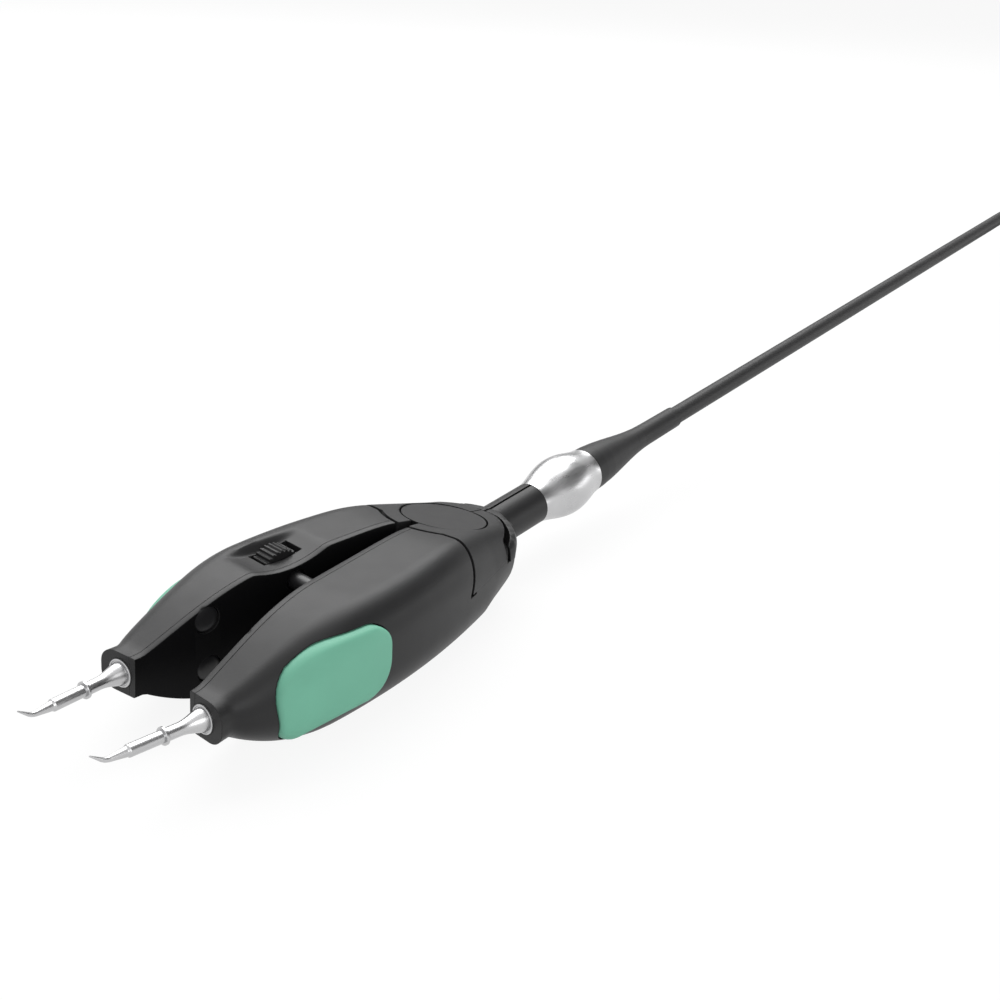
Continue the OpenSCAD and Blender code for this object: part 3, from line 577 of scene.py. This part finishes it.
def varied(tree, place, scale, low, high, detail=3.0):
    """A colour or grey that wanders between two values over the surface."""
    noise = add(tree, "ShaderNodeTexNoise", Scale=scale, Detail=detail)
    link(tree, place, noise.inputs["Vector"])
    ramp = tree.nodes.new("ShaderNodeValToRGB")
    ramp.color_ramp.elements[0].position = 0.3
    ramp.color_ramp.elements[1].position = 0.7
    ramp.color_ramp.elements[0].color = low
    ramp.color_ramp.elements[1].color = high
    link(tree, noise.outputs["Fac"], ramp.inputs["Fac"])
    return ramp.outputs["Color"]


def grey(v):
    return (v, v, v, 1)


def grained(tree, place, shader, scale, strength, edge=0.0):
    """Fine moulded grain, over edges that look slightly rounded."""
    noise = add(tree, "ShaderNodeTexNoise", Scale=scale, Detail=2.0)
    link(tree, place, noise.inputs["Vector"])
    bump = add(tree, "ShaderNodeBump", Strength=strength, Distance=GRAIN_DEPTH)
    link(tree, noise.outputs["Fac"], bump.inputs["Height"])
    if edge:
        rounded = add(tree, "ShaderNodeBevel", Radius=edge * MM, samples=4)
        link(tree, rounded.outputs["Normal"], bump.inputs["Normal"])
    link(tree, bump.outputs["Normal"], shader.inputs["Normal"])


def plastic(name, colour, rough, level, edge, grain=0.12):
    made, tree, shader, place = blank(name)
    dark = tuple(c * 0.95 for c in colour) + (1,)
    pale = tuple(c * 1.05 for c in colour) + (1,)
    link(tree, varied(tree, place, TONE_SCALE["plastic"], dark, pale), shader.inputs["Base Color"])
    uneven = varied(tree, place, ROUGHNESS_SCALE["plastic"], grey(rough - 0.015), grey(rough + 0.02))
    link(tree, uneven, shader.inputs["Roughness"])
    shader.inputs["Specular IOR Level"].default_value = level
    grained(tree, place, shader, GRAIN_SCALE["plastic"], grain, edge)
    return made


def metal(name, colour, rough, edge, brush=None):
    made, tree, shader, place = blank(name)
    shader.inputs["Metallic"].default_value = 1
    dark = tuple(c * 0.93 for c in colour) + (1,)
    pale = tuple(min(1, c * 1.05) for c in colour) + (1,)
    link(tree, varied(tree, place, TONE_SCALE["metal"], dark, pale), shader.inputs["Base Color"])
    stretch = tree.nodes.new("ShaderNodeMapping")
    stretch.inputs["Scale"].default_value = brush or (1, 1, 1)
    link(tree, place, stretch.inputs["Vector"])
    brushed = stretch.outputs["Vector"]
    uneven = varied(tree, brushed, ROUGHNESS_SCALE["metal"], grey(rough - 0.05), grey(rough + 0.07))
    link(tree, uneven, shader.inputs["Roughness"])
    grained(tree, brushed, shader, GRAIN_SCALE["metal"], METAL_GRAIN, edge)
    return made


BODY = plastic("body_plastic", (0.013, 0.013, 0.0135), 0.44, 0.26, 0.22)
# Painted shade: a darker, duller copy of the body plastic, for the inner covers' faces in the gap between the
# arms
GAP_SHADE_PLASTIC = plastic("inner_plastic_painted_shade", (0.003, 0.003, 0.0033), 0.5, 0.06, 0.18)
PAD = plastic("grip_rubber", (0.145, 0.4, 0.285), 0.55, 0.3, 0, 0.1)
RUBBER = plastic("cable_rubber", (0.016, 0.016, 0.0165), 0.5, 0.26, 0, 0.16)
DARK_STEEL = plastic("dark_steel", (0.014, 0.014, 0.015), 0.35, 0.4, 0.1, 0.05)
SATIN = metal("satin_metal", (0.52, 0.52, 0.525), 0.3, 0, (0.05, 1, 1))
STEEL = metal("bare_steel", (0.55, 0.55, 0.56), 0.3, 0.1)
BRASS = metal("contact_brass", (0.72, 0.55, 0.27), 0.25, 0.05)
SLOT_MATERIALS = {
    "body_plastic": BODY, "grip_rubber": PAD, "cable_rubber": RUBBER, "satin_metal": SATIN,
    "bare_steel": STEEL, "dark_steel": DARK_STEEL, "contact_brass": BRASS,
}
for part in frame["record"]["subparts"]:
    node = frame["nodes"][part["node"]]
    node.data.materials.clear()
    node.data.materials.append(SLOT_MATERIALS[part["material_slot"]])


def finish_piece(made, material):
    made.data.materials.clear()
    made.data.materials.append(material)


# Camera, solved from the photograph

CAMERA_PLACE = Vector((-0.166131, -0.134294, 0.115997))
SENSOR_WIDTH = 36
LENS = 47.07
SHIFT_ACROSS = -0.0099
right = Vector((0.6033, -0.7958, 0.0528)).normalized()
down = Vector((-0.2962, -0.2851, -0.9116))
ahead = right.cross(down).normalized()
down = ahead.cross(right).normalized()
camera = bpy.data.objects.new("camera", bpy.data.cameras.new("camera"))
camera.matrix_world = Matrix((
    (right.x, -down.x, -ahead.x, CAMERA_PLACE.x),
    (right.y, -down.y, -ahead.y, CAMERA_PLACE.y),
    (right.z, -down.z, -ahead.z, CAMERA_PLACE.z),
    (0, 0, 0, 1),
))
camera.data.sensor_width = SENSOR_WIDTH
camera.data.lens = LENS
camera.data.shift_x = SHIFT_ACROSS
camera.data.clip_start = 0.01
camera.data.clip_end = 20
scene.collection.objects.link(camera)
scene.camera = camera


# Cable: one line from the clamp to the plug, through the coil

def coil_points():
    """Laps of the coil, each in its own lane of a bundle.

    A lap changes lane over a quarter turn. Where the change goes another way than the one before,
    it comes a quarter turn earlier, so that neighbours never meet.
    """
    changes = []
    start = 0.75
    before = None
    for here, there in zip(COIL_LANES, COIL_LANES[1:]):
        step = (there[0] - here[0], there[1] - here[1])
        if before:
            start += 1 if step == before else 0.75
        changes.append((start, step))
        before = step
    per_turn = 24
    made = []
    for i in range(math.ceil(start + 0.25) * per_turn + 1):
        along = i / per_turn
        column, row = COIL_LANES[0]
        for start, step in changes:
            done = eased(share(along, start, start + 0.25))
            column += step[0] * done
            row += step[1] * done
        radius = COIL_RADIUS + COIL_PITCH * column
        turn = math.pi / 2 - 2 * math.pi * along
        made.append(Vector((
            COIL_CENTRE[0] + radius * math.cos(turn),
            COIL_CENTRE[1] + radius * math.sin(turn),
            CABLE_DIAMETER / 2 + COIL_PITCH * row,
        )))
    return made


def cable_points():
    """Centreline in millimetres: straight out of the neck, onto the coil, round it and off to the plug."""
    neck = Vector((math.cos(math.radians(NECK_TILT)), 0, math.sin(math.radians(NECK_TILT))))
    run = [NECK_START + s * neck for s in range(8, 272, 12)] + [NECK_START + 275 * neck]
    drop = [Vector((322, 1, 29)), Vector((341, 5, 24.5)), Vector((359, 10, 18.5))]
    turns = coil_points()
    off = turns[-1]
    rises = [(12, 0.4), (24, 2.2), (35, 4), (40, 4)]
    tail = [off + Vector((x, 0, z)) for x, z in rises]
    return run + drop + turns + tail


def smooth_line(points, steps):
    """Points of a smooth curve through the given ones, with even speed along each span."""
    made = []
    for i in range(len(points) - 1):
        b, c = points[i], points[i + 1]
        a = points[i - 1] if i else b + (b - c)
        d = points[i + 2] if i + 2 < len(points) else c + (c - b)
        span = (c - b).length
        start = ((c - b) / span + (b - a) / (b - a).length) * 0.5 * span
        end = ((d - c) / (d - c).length + (c - b) / span) * 0.5 * span
        for k in range(steps):
            s = k / steps
            made.append(
                b * (2 * s ** 3 - 3 * s ** 2 + 1) + start * (s ** 3 - 2 * s ** 2 + s)
                + c * (3 * s ** 2 - 2 * s ** 3) + end * (s ** 3 - s ** 2)
            )
    return made + [points[-1]]


line = smooth_line(cable_points(), 3)
curve = bpy.data.curves.new("cable_line", "CURVE")
curve.dimensions = "3D"
curve.bevel_depth = CABLE_DIAMETER / 2 * MM
curve.bevel_resolution = 6
curve.use_fill_caps = True
spline = curve.splines.new("POLY")
spline.points.add(len(line) - 1)
for point, place in zip(spline.points, line):
    point.co = (*(place * MM), 1)
cable = bpy.data.objects.new("cable_line", curve)
scene.collection.objects.link(cable)
curve.materials.append(RUBBER)
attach(cable, "hub")
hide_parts("cable", "cable_coil")


# Arms

def build_shell(side):
    holds_wheel = side == WHEEL_SIDE
    rings = [arm_ring(x, 0, rear_inner(x, COVER_OUTER_FACE), holds_wheel) for x in ALL_STATIONS]
    shell = to_object("arm_shell_" + side, cut_nose(skin(rings)))
    cuts = [
        hub_region(HUB_SEAM_GAP),
        drum(SLOT_RADIUS - SLOT_WALL, FLOOR, HIGH),
        drum(FOOT_RADIUS + SWING_GAP, -SPARE, FLOOR + FOOT_ROOM),
        neck_window(),
        nose_bore(),
        pad_layers(PAD_ROOM, side),
        flange_room(FLANGE_BASE - CUT_OVERLAP),
        seam_turn(),
    ]
    if holds_wheel:
        cuts.append(wheel_slot())
    carve(shell, cuts)
    settle(shell, side, side + "_arm", "shell_" + side)
    finish_piece(shell, BODY)


def build_hub_cover(side):
    along = [x for x in ALL_STATIONS if x > -HUB_SEAM_RADIUS - HUB_COVER_SPARE]
    rings = [arm_ring(x, 0, rear_inner(x, INNER_FACE)) for x in along]
    cover = to_object("hub_cap_" + side, skin(rings))
    carve(cover, [hub_region(0)], "INTERSECT")
    carve(cover, [
        flange_room(-SPARE),
        drum(SLOT_RADIUS - SLOT_WALL, FLOOR, CAP_BOTTOM),
        drum(CAP_RADIUS + SWING_GAP, CAP_BOTTOM - CUT_OVERLAP, HIGH, 128),
        neck_window(),
    ])
    settle(cover, side, side + "_arm", "hub_cover_" + side)
    finish_piece(cover, BODY)


def inner_cover_ring(x, side):
    """Outline across the inner cover, with softened edges on its inner face."""
    low = arm_bottom(x)
    high = arm_top(x) - (hollow(x, 0) if side == WHEEL_SIDE else 0)
    outer = COVER_OUTER_FACE - COVER_OVERLAP
    edge, bevel = INNER_FACE + COVER_EDGE, INNER_FACE + COVER_BEVEL
    return [
        (x, outer, high), (x, edge, high), (x, bevel, high - COVER_BEVEL),
        (x, INNER_FACE, high - COVER_EDGE), (x, INNER_FACE, low + COVER_EDGE),
        (x, bevel, low + COVER_BEVEL), (x, edge, low), (x, outer, low),
    ]


def build_inner_cover(side):
    """The plate that closes an arm. Its faces toward the gap carry painted shade, a darker copy of the body
    plastic; its edges have the tone of the shell.
    """
    along = stations(-ARM_REACH - NOSE_SPARE, -HUB_SEAM_RADIUS - COVER_END_GAP, STATION_STEP)
    rings = [inner_cover_ring(x, side) for x in along]
    plate = to_object("inner_plate_" + side, cut_nose(skin(rings)))
    stop_hole = drum(STOP_HOLE_RADIUS[side], 0, STOP_HOLE_LENGTH, 64)
    stop_reach = WHEEL_REACH + STOP_HOLE_SHIFT[side]
    cuts = [moved(stop_hole, crosswise(stop_reach, HOLE_START, WHEEL_HEIGHT)), nose_bore()]
    for height in SCREW_HEIGHTS:
        screw_hole = drum(SCREW_HOLE_RADIUS, 0, SCREW_HOLE_LENGTH, 64)
        cuts.append(moved(screw_hole, crosswise(SCREW_REACH, HOLE_START, height)))
    carve(plate, cuts)
    settle(plate, side, side + "_arm", "inner_cover_" + side)
    # Painted shade on the faces toward the gap; the other faces keep the body plastic
    finish_piece(plate, GAP_SHADE_PLASTIC)
    plate.data.materials.append(BODY)
    for face in plate.data.polygons:
        face.material_index = 0 if abs(face.normal.y) > GAP_SHADE_FACING else 1


def pad_outline(inset, side):
    """Points round the pad on the side of the arm as (x, height)."""
    made = []
    for corner, (along, up) in enumerate(PAD_CORNERS):
        at_rear = corner in (0, 3)
        wide, tall = max(PAD_CORNER_LEAST, along - inset), max(PAD_CORNER_LEAST, up - inset)
        middle = PAD_REAR - inset - wide if at_rear else PAD_FRONT + inset + wide
        for i in range(PAD_CORNER_STEPS + 1):
            turn = math.radians(90 * corner + 90 * i / PAD_CORNER_STEPS)
            x = middle + wide * math.cos(turn)
            low = PAD_LOW + PAD_TAPER * (x - PAD_FRONT) + inset
            base = PAD_TOPS[side] - inset - tall if corner < 2 else low + tall
            z = base + tall * math.sin(turn)
            slant = PAD_SLANT * share(z, PAD_SLANT_TOP, PAD_LOW + 1) * share(x, PAD_REAR, PAD_FRONT)
            made.append((x + slant, z))
    return made


def on_arm(x, z, proud):
    """Point on the outer side of a closed arm at a height, standing proud of it."""
    ring = arm_ring(x, proud, 0)[OUTER_START:TOP_START + 1]
    z = min(ring[-1][2] - PAD_TOP_MARGIN, max(ring[0][2] + PAD_LOW_MARGIN, z))
    for a, b in zip(ring, ring[1:]):
        if a[2] <= z <= b[2]:
            return (x, a[1] + (b[1] - a[1]) * (z - a[2]) / max(1e-6, b[2] - a[2]), z)
    return (x, ring[-1][1], z)


def pad_layers(layers, side):
    """A closed form through outlines of the pad, each given as (inset, height over the arm)."""
    return skin([[on_arm(x, z, proud) for x, z in pad_outline(inset, side)] for inset, proud in layers])


def build_pad(side):
    """Rubber pad whose rim rolls down into the side of the arm."""
    rim = [(0, -1.0), (0, 0.2), (0.06, 0.45), (0.22, 0.65), (0.45, 0.76), (0.8, PAD_PROUD)]
    middle = [(inset, PAD_PROUD) for inset in (1.3, 1.9, 2.6, 3.3, 4.0, 4.5)]
    made = to_object("pad_" + side, pad_layers(rim + middle, side))
    settle(made, side, side + "_arm", "grip_pad_" + side, 50)
    finish_piece(made, PAD)


for side in SIDES:
    build_shell(side)
    build_hub_cover(side)
    build_inner_cover(side)
    build_pad(side)


# Cartridges, collars, bent tips and screw caps

def cartridge_profile():
    """Root in the socket, rim at the nose, then a flare that narrows to the tube."""
    flare_start = FACE_AT + FACE_DEPTH
    flare = []
    for i in range(FLARE_STEPS + 1):
        slide = i / FLARE_STEPS
        narrowing = (1 + math.cos(math.pi * slide ** FLARE_POWER)) / 2
        radius = TUBE_RADIUS + (FLARE_RADIUS - TUBE_RADIUS) * narrowing
        flare.append((radius, flare_start + (FLARE_END - flare_start) * slide))
    root = [(CARTRIDGE_ROOT_RADIUS, CARTRIDGE_ROOT), (CARTRIDGE_ROOT_RADIUS, FACE_AT)]
    rim = [(2.3, 0), (2.3, 0.18), (2.22, 0.26), (2.06, 0.26), (1.98, FACE_DEPTH)]
    rim = [(radius, FACE_AT + along) for radius, along in rim]
    return root + rim + flare + [(TUBE_RADIUS, COLLAR_AT + TUBE_OVERLAP)]


def tip_radius(along):
    if along < SHOULDER:
        return TIP_TUBE_RADIUS
    if along < SHOULDER + SHOULDER_LENGTH:
        return TIP_TUBE_RADIUS - SHOULDER_DROP * (along - SHOULDER) / SHOULDER_LENGTH
    taper = POINT_TAPER * share(along, SHOULDER, BEND_START)
    return POINT_RADIUS - taper - POINT_END_TAPER * share(along, BEND_START, TIP_END)


def tip_mesh():
    """Front tube with a shoulder, then a slender point that bends up."""
    place = Vector((0, 0, TIP_START))
    along, bend = TIP_START, 0.0
    rings = []
    while along < TIP_END:
        ring = []
        for across, y in circle(tip_radius(along), 48):
            ring.append((place.x + across * math.cos(bend), place.y + y, place.z + across * math.sin(bend)))
        rings.append(ring)
        place = place + TIP_STEP * Vector((-math.sin(bend), 0, math.cos(bend)))
        bend = math.radians(TIP_BEND) * share(along, BEND_START - BEND_BEFORE, BEND_START + BEND_AFTER)
        along += TIP_STEP
    return moved(skin(rings), along_cartridge())


def screw_caps():
    """Both domed caps on the inner cover of an arm, as one mesh."""
    dome = [(0.02, 0.1), (0.8, 0.11), (1.5, 0.17), (2.0, 0.32), (2.2, 0.55), (2.2, 1.6)]
    caps = bmesh.new()
    for height in SCREW_HEIGHTS:
        one = to_object("cap", turned(dome, crosswise(SCREW_REACH, INNER_FACE, height)))
        caps.from_mesh(one.data)
        bpy.data.objects.remove(one)
    return caps


def build_front(side):
    collar = [(0.95, 0), (1.32, 0), (1.38, 0.08), (1.38, 0.4), (1.32, 0.48), (0.95, 0.48)]
    collar = [(radius, COLLAR_AT + along) for radius, along in collar]
    pieces = [
        ("cartridge_", turned(cartridge_profile(), along_cartridge()), SATIN, "satin_metal"),
        ("collar_", turned(collar, along_cartridge()), SATIN, "satin_metal"),
        ("tip_", tip_mesh(), SATIN, "satin_metal"),
        ("cover_screws_", screw_caps(), DARK_STEEL, "dark_steel"),
    ]
    for name, mesh, material, slot in pieces:
        made = to_object("smooth_" + name + side, mesh)
        settle(made, side, side + "_arm", name + side)
        finish_piece(made, material)


for side in SIDES:
    build_front(side)


# Ferrule

def build_ferrule():
    swell_height = FERRULE_RADIUS - NECK_RADIUS - FERRULE_WIDEN / 2
    outline = []
    for i in range(FERRULE_STEPS + 1):
        slide = i / FERRULE_STEPS
        swell = math.sin(math.pi * slide ** FERRULE_LEAN_POWER) ** FERRULE_SWELL_POWER if 0 < slide < 1 else 0
        radius = NECK_RADIUS + FERRULE_WIDEN * slide + swell_height * swell
        outline.append((radius, FERRULE_LENGTH * slide))
    outline = [(FERRULE_BORE, 0)] + outline + [(FERRULE_BORE, FERRULE_LENGTH)]
    lay = Matrix.Translation(NECK_START) @ Matrix.Rotation(math.radians(90 - NECK_TILT), 4, "Y")
    made = to_object("smooth_ferrule", turned(outline, Matrix.Diagonal((MM, MM, MM, 1)) @ lay, 120))
    made.data.shade_smooth()
    made.data.set_sharp_from_angle(angle=math.radians(40))
    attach(made, "hub")
    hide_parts("ferrule")
    finish_piece(made, SATIN)


build_ferrule()


# Neck: two halves with a flange round the rear of the arms and a tongue that holds the pin

def flange_half():
    """Left half of the flange: what the round rear of the arms would be outside the slot."""
    rear = [x for x in ALL_STATIONS if x > FLANGE_START] + [REAR_RADIUS * 0.9995]
    made = to_object("flange_half", skin([arm_ring(x, FLANGE_GROW, 0) for x in rear]))
    below = block((-FAR / 2, -FAR / 2, -SPARE), (FAR, FAR, FLANGE_BASE))
    carve(made, [drum(FLANGE_INNER, -SPARE, HIGH, 160), below])
    mesh = bmesh.new()
    mesh.from_mesh(made.data)
    bpy.data.objects.remove(made)
    for vert in mesh.verts:
        reach = math.hypot(vert.co.x, vert.co.y)
        around = math.degrees(math.atan2(vert.co.y, vert.co.x))
        up = share(vert.co.z, FLANGE_BASE, FLANGE_BASE + FLANGE_RISE)
        round_end = share(around, FLANGE_TURN, FLANGE_TURN - FLANGE_END_TURN)
        if reach > FLANGE_INNER + CUT_OVERLAP:
            widen = 1 + FLANGE_WIDEN * eased(up) * math.sqrt(round_end) / reach
            vert.co.x *= widen
            vert.co.y *= widen
        vert.co.z -= FLANGE_DROP * up
    turn = math.radians(FLANGE_TURN)
    slant = turn + math.radians(135)
    corner = FLANGE_INNER + FLANGE_CORNER
    cut_plane(mesh, (0, 0, 0), (-math.sin(turn), math.cos(turn), 0))
    return cut_plane(
        mesh, (corner * math.cos(turn), corner * math.sin(turn), 0), (math.cos(slant), math.sin(slant), 0),
    )


def neck_height(x):
    return NECK_START.z + (x - NECK_START.x) * math.tan(math.radians(NECK_TILT))


def neck_row(bend):
    """Points round the neck where its fillet has turned this far. The fillet is at the sides only."""
    wider = NECK_FILLET * (1 - math.sin(bend))
    ahead_by = NECK_FILLET * (1 - math.cos(bend)) - NECK_SINK
    row = []
    for across, up in circle(1, NECK_STEPS):
        at_side = share(up, *NECK_FILLET_LOW) * share(up, *NECK_FILLET_HIGH)
        radius = NECK_RADIUS + wider * at_side
        y = radius * across
        x = max(math.sqrt(FLANGE_OUTER ** 2 - y * y) + ahead_by, FLANGE_OUTER + 0.05)
        row.append((x, y, neck_height(x) + radius * up))
    return row


def neck_end(radius):
    x = NECK_START.x + NECK_OVERLAP
    return [(x, y, neck_height(x) + z) for y, z in circle(radius, NECK_STEPS)]


def neck_mesh():
    """Round neck that spreads where it meets the flange."""
    rows = [neck_row(math.pi / 2 * i / NECK_FILLET_STEPS) for i in range(NECK_FILLET_STEPS + 1)]
    back = []
    for x, y, z in rows[0]:
        back.append((FLANGE_INNER + NECK_ROOT if z > FLANGE_BASE else FLANGE_OUTER + 0.02, y, z))
    return skin([back] + rows + [neck_end(NECK_RADIUS), neck_end(NECK_RADIUS / 2)])


def tongue_half():
    """Left half of the tongue: a bar that ends in half an eye round the hinge pin."""
    near = SPLIT_GAP / 2 + TONGUE_INSET
    end = FLANGE_OUTER + TONGUE_OVERLAP
    outline = [(end, near), (end, TONGUE_HALF_WIDTH)]
    for radius, first, last in TONGUE_EYE:
        for i in range(TONGUE_EYE_STEPS + 1):
            turn = math.radians(first + (last - first) * i / TONGUE_EYE_STEPS)
            outline.append((radius * math.cos(turn), radius * math.sin(turn)))
    return prism(outline, TONGUE_BOTTOM, TONGUE_TOP)


def build_neck():
    for side, sign in (("left", 1), ("right", -1)):
        half = to_object("neck_half_" + side, neck_mesh())
        carve(half, [flange_half()], "UNION")
        carve(half, [block((0, SPLIT_GAP / 2, -SPARE), (HIGH, FAR, FAR))], "INTERSECT")
        joined = tongue_half()
        joined.from_mesh(half.data)
        joined.to_mesh(half.data)
        joined.free()
        half.data.transform(Matrix.Diagonal((MM, sign * MM, MM, 1)))
        if side == "right":
            half.data.flip_normals()
        half.data.shade_smooth()
        half.data.set_sharp_from_angle(angle=math.radians(35))
        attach(half, "hub")
        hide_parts("neck_" + side)
        finish_piece(half, BODY)


build_neck()


# Stage: pale floor, white surroundings, soft lamps and dark cards

FLOOR_TONE = (0.85, 0.85, 0.85, 1)
FLOOR_WHITENESS = 0.9
FLOOR_HALF = 6
FLOOR_LEVEL = -0.0001
SKY_LEVEL = 0.45
CARD_TONE = (0.12, 0.12, 0.12, 1)
WHITE = (1, 1, 1, 1)


def seen_directly(tree):
    """One for what the camera sees, straight, mirrored or through glass, and zero for other light."""
    path = tree.nodes.new("ShaderNodeLightPath")
    seen = path.outputs["Is Camera Ray"]
    for kind in ("Is Glossy Ray", "Is Transmission Ray"):
        either = add(tree, "ShaderNodeMath", operation="MAXIMUM")
        link(tree, seen, either.inputs[0])
        link(tree, path.outputs[kind], either.inputs[1])
        seen = either.outputs[0]
    return seen


def stage_material():
    made = bpy.data.materials.new("stage_white")
    made.use_nodes = True
    tree = made.node_tree
    tree.nodes.clear()
    weight = add(tree, "ShaderNodeMath", operation="MULTIPLY")
    link(tree, seen_directly(tree), weight.inputs[0])
    weight.inputs[1].default_value = FLOOR_WHITENESS
    matt = add(tree, "ShaderNodeBsdfDiffuse", Color=FLOOR_TONE)
    glow = add(tree, "ShaderNodeEmission", Color=WHITE)
    mix = tree.nodes.new("ShaderNodeMixShader")
    out = tree.nodes.new("ShaderNodeOutputMaterial")
    link(tree, weight.outputs[0], mix.inputs[0])
    link(tree, matt.outputs[0], mix.inputs[1])
    link(tree, glow.outputs[0], mix.inputs[2])
    link(tree, mix.outputs[0], out.inputs["Surface"])
    return made


def build_floor():
    mesh = bmesh.new()
    bmesh.ops.create_grid(mesh, x_segments=1, y_segments=1, size=FLOOR_HALF)
    floor = to_object("floor", mesh)
    floor.location.z = FLOOR_LEVEL
    floor.data.materials.append(stage_material())


def build_sky():
    world = bpy.data.worlds.new("studio")
    scene.world = world
    world.use_nodes = True
    sky = world.node_tree
    level = add(sky, "ShaderNodeMapRange")
    level.inputs["To Min"].default_value = SKY_LEVEL
    level.inputs["To Max"].default_value = 1.0
    link(sky, seen_directly(sky), level.inputs["Value"])
    link(sky, level.outputs["Result"], sky.nodes["Background"].inputs["Strength"])
    sky.nodes["Background"].inputs["Color"].default_value = WHITE


def point_at(made, place, aim):
    made.location = place
    made.rotation_mode = "QUATERNION"
    made.rotation_quaternion = (Vector(aim) - Vector(place)).to_track_quat("-Z", "Y")
    made.visible_camera = False


def lamp(name, place, aim, size, power):
    data = bpy.data.lights.new(name, "AREA")
    data.shape = "RECTANGLE"
    data.size, data.size_y = size
    data.energy = power
    made = bpy.data.objects.new(name, data)
    point_at(made, place, aim)
    scene.collection.objects.link(made)


def card_material():
    made = bpy.data.materials.new("card_black")
    made.use_nodes = True
    shader = made.node_tree.nodes["Principled BSDF"]
    shader.inputs["Base Color"].default_value = CARD_TONE
    shader.inputs["Roughness"].default_value = 0.9
    return made


def dark_card(name, place, aim, size):
    """A dark board that only reflections see, for the dark bands in the shine."""
    mesh = bmesh.new()
    bmesh.ops.create_grid(mesh, x_segments=1, y_segments=1, size=0.5)
    made = to_object(name, mesh)
    made.scale = (size[0], size[1], 1)
    point_at(made, place, aim)
    made.data.materials.append(CARD)
    made.visible_diffuse = False
    made.visible_transmission = False
    made.visible_shadow = False


build_floor()
build_sky()
lamp("rear_top_softbox", (0.46, 0.51, 0.86), (0.15, 0.2, 0), (1.26, 0.98), 18)
lamp("low_strip", (0.72, -0.6, 0.1), (0, 0, 0.012), (0.6, 0.12), 0.5)
lamp("front_fill", (-0.35, -0.75, 0.45), (-0.02, 0, 0.01), (0.7, 0.5), 2.6)
CARD = card_material()
dark_card("upper_card", (0.54, -0.456, 0.554), (-0.03, 0, 0.01), (1.2, 0.72))
dark_card("rear_card", (1.05, 0.655, 0.17), (0, 0, 0.01), (1.5, 0.42))

scene.view_settings.view_transform = "Standard"
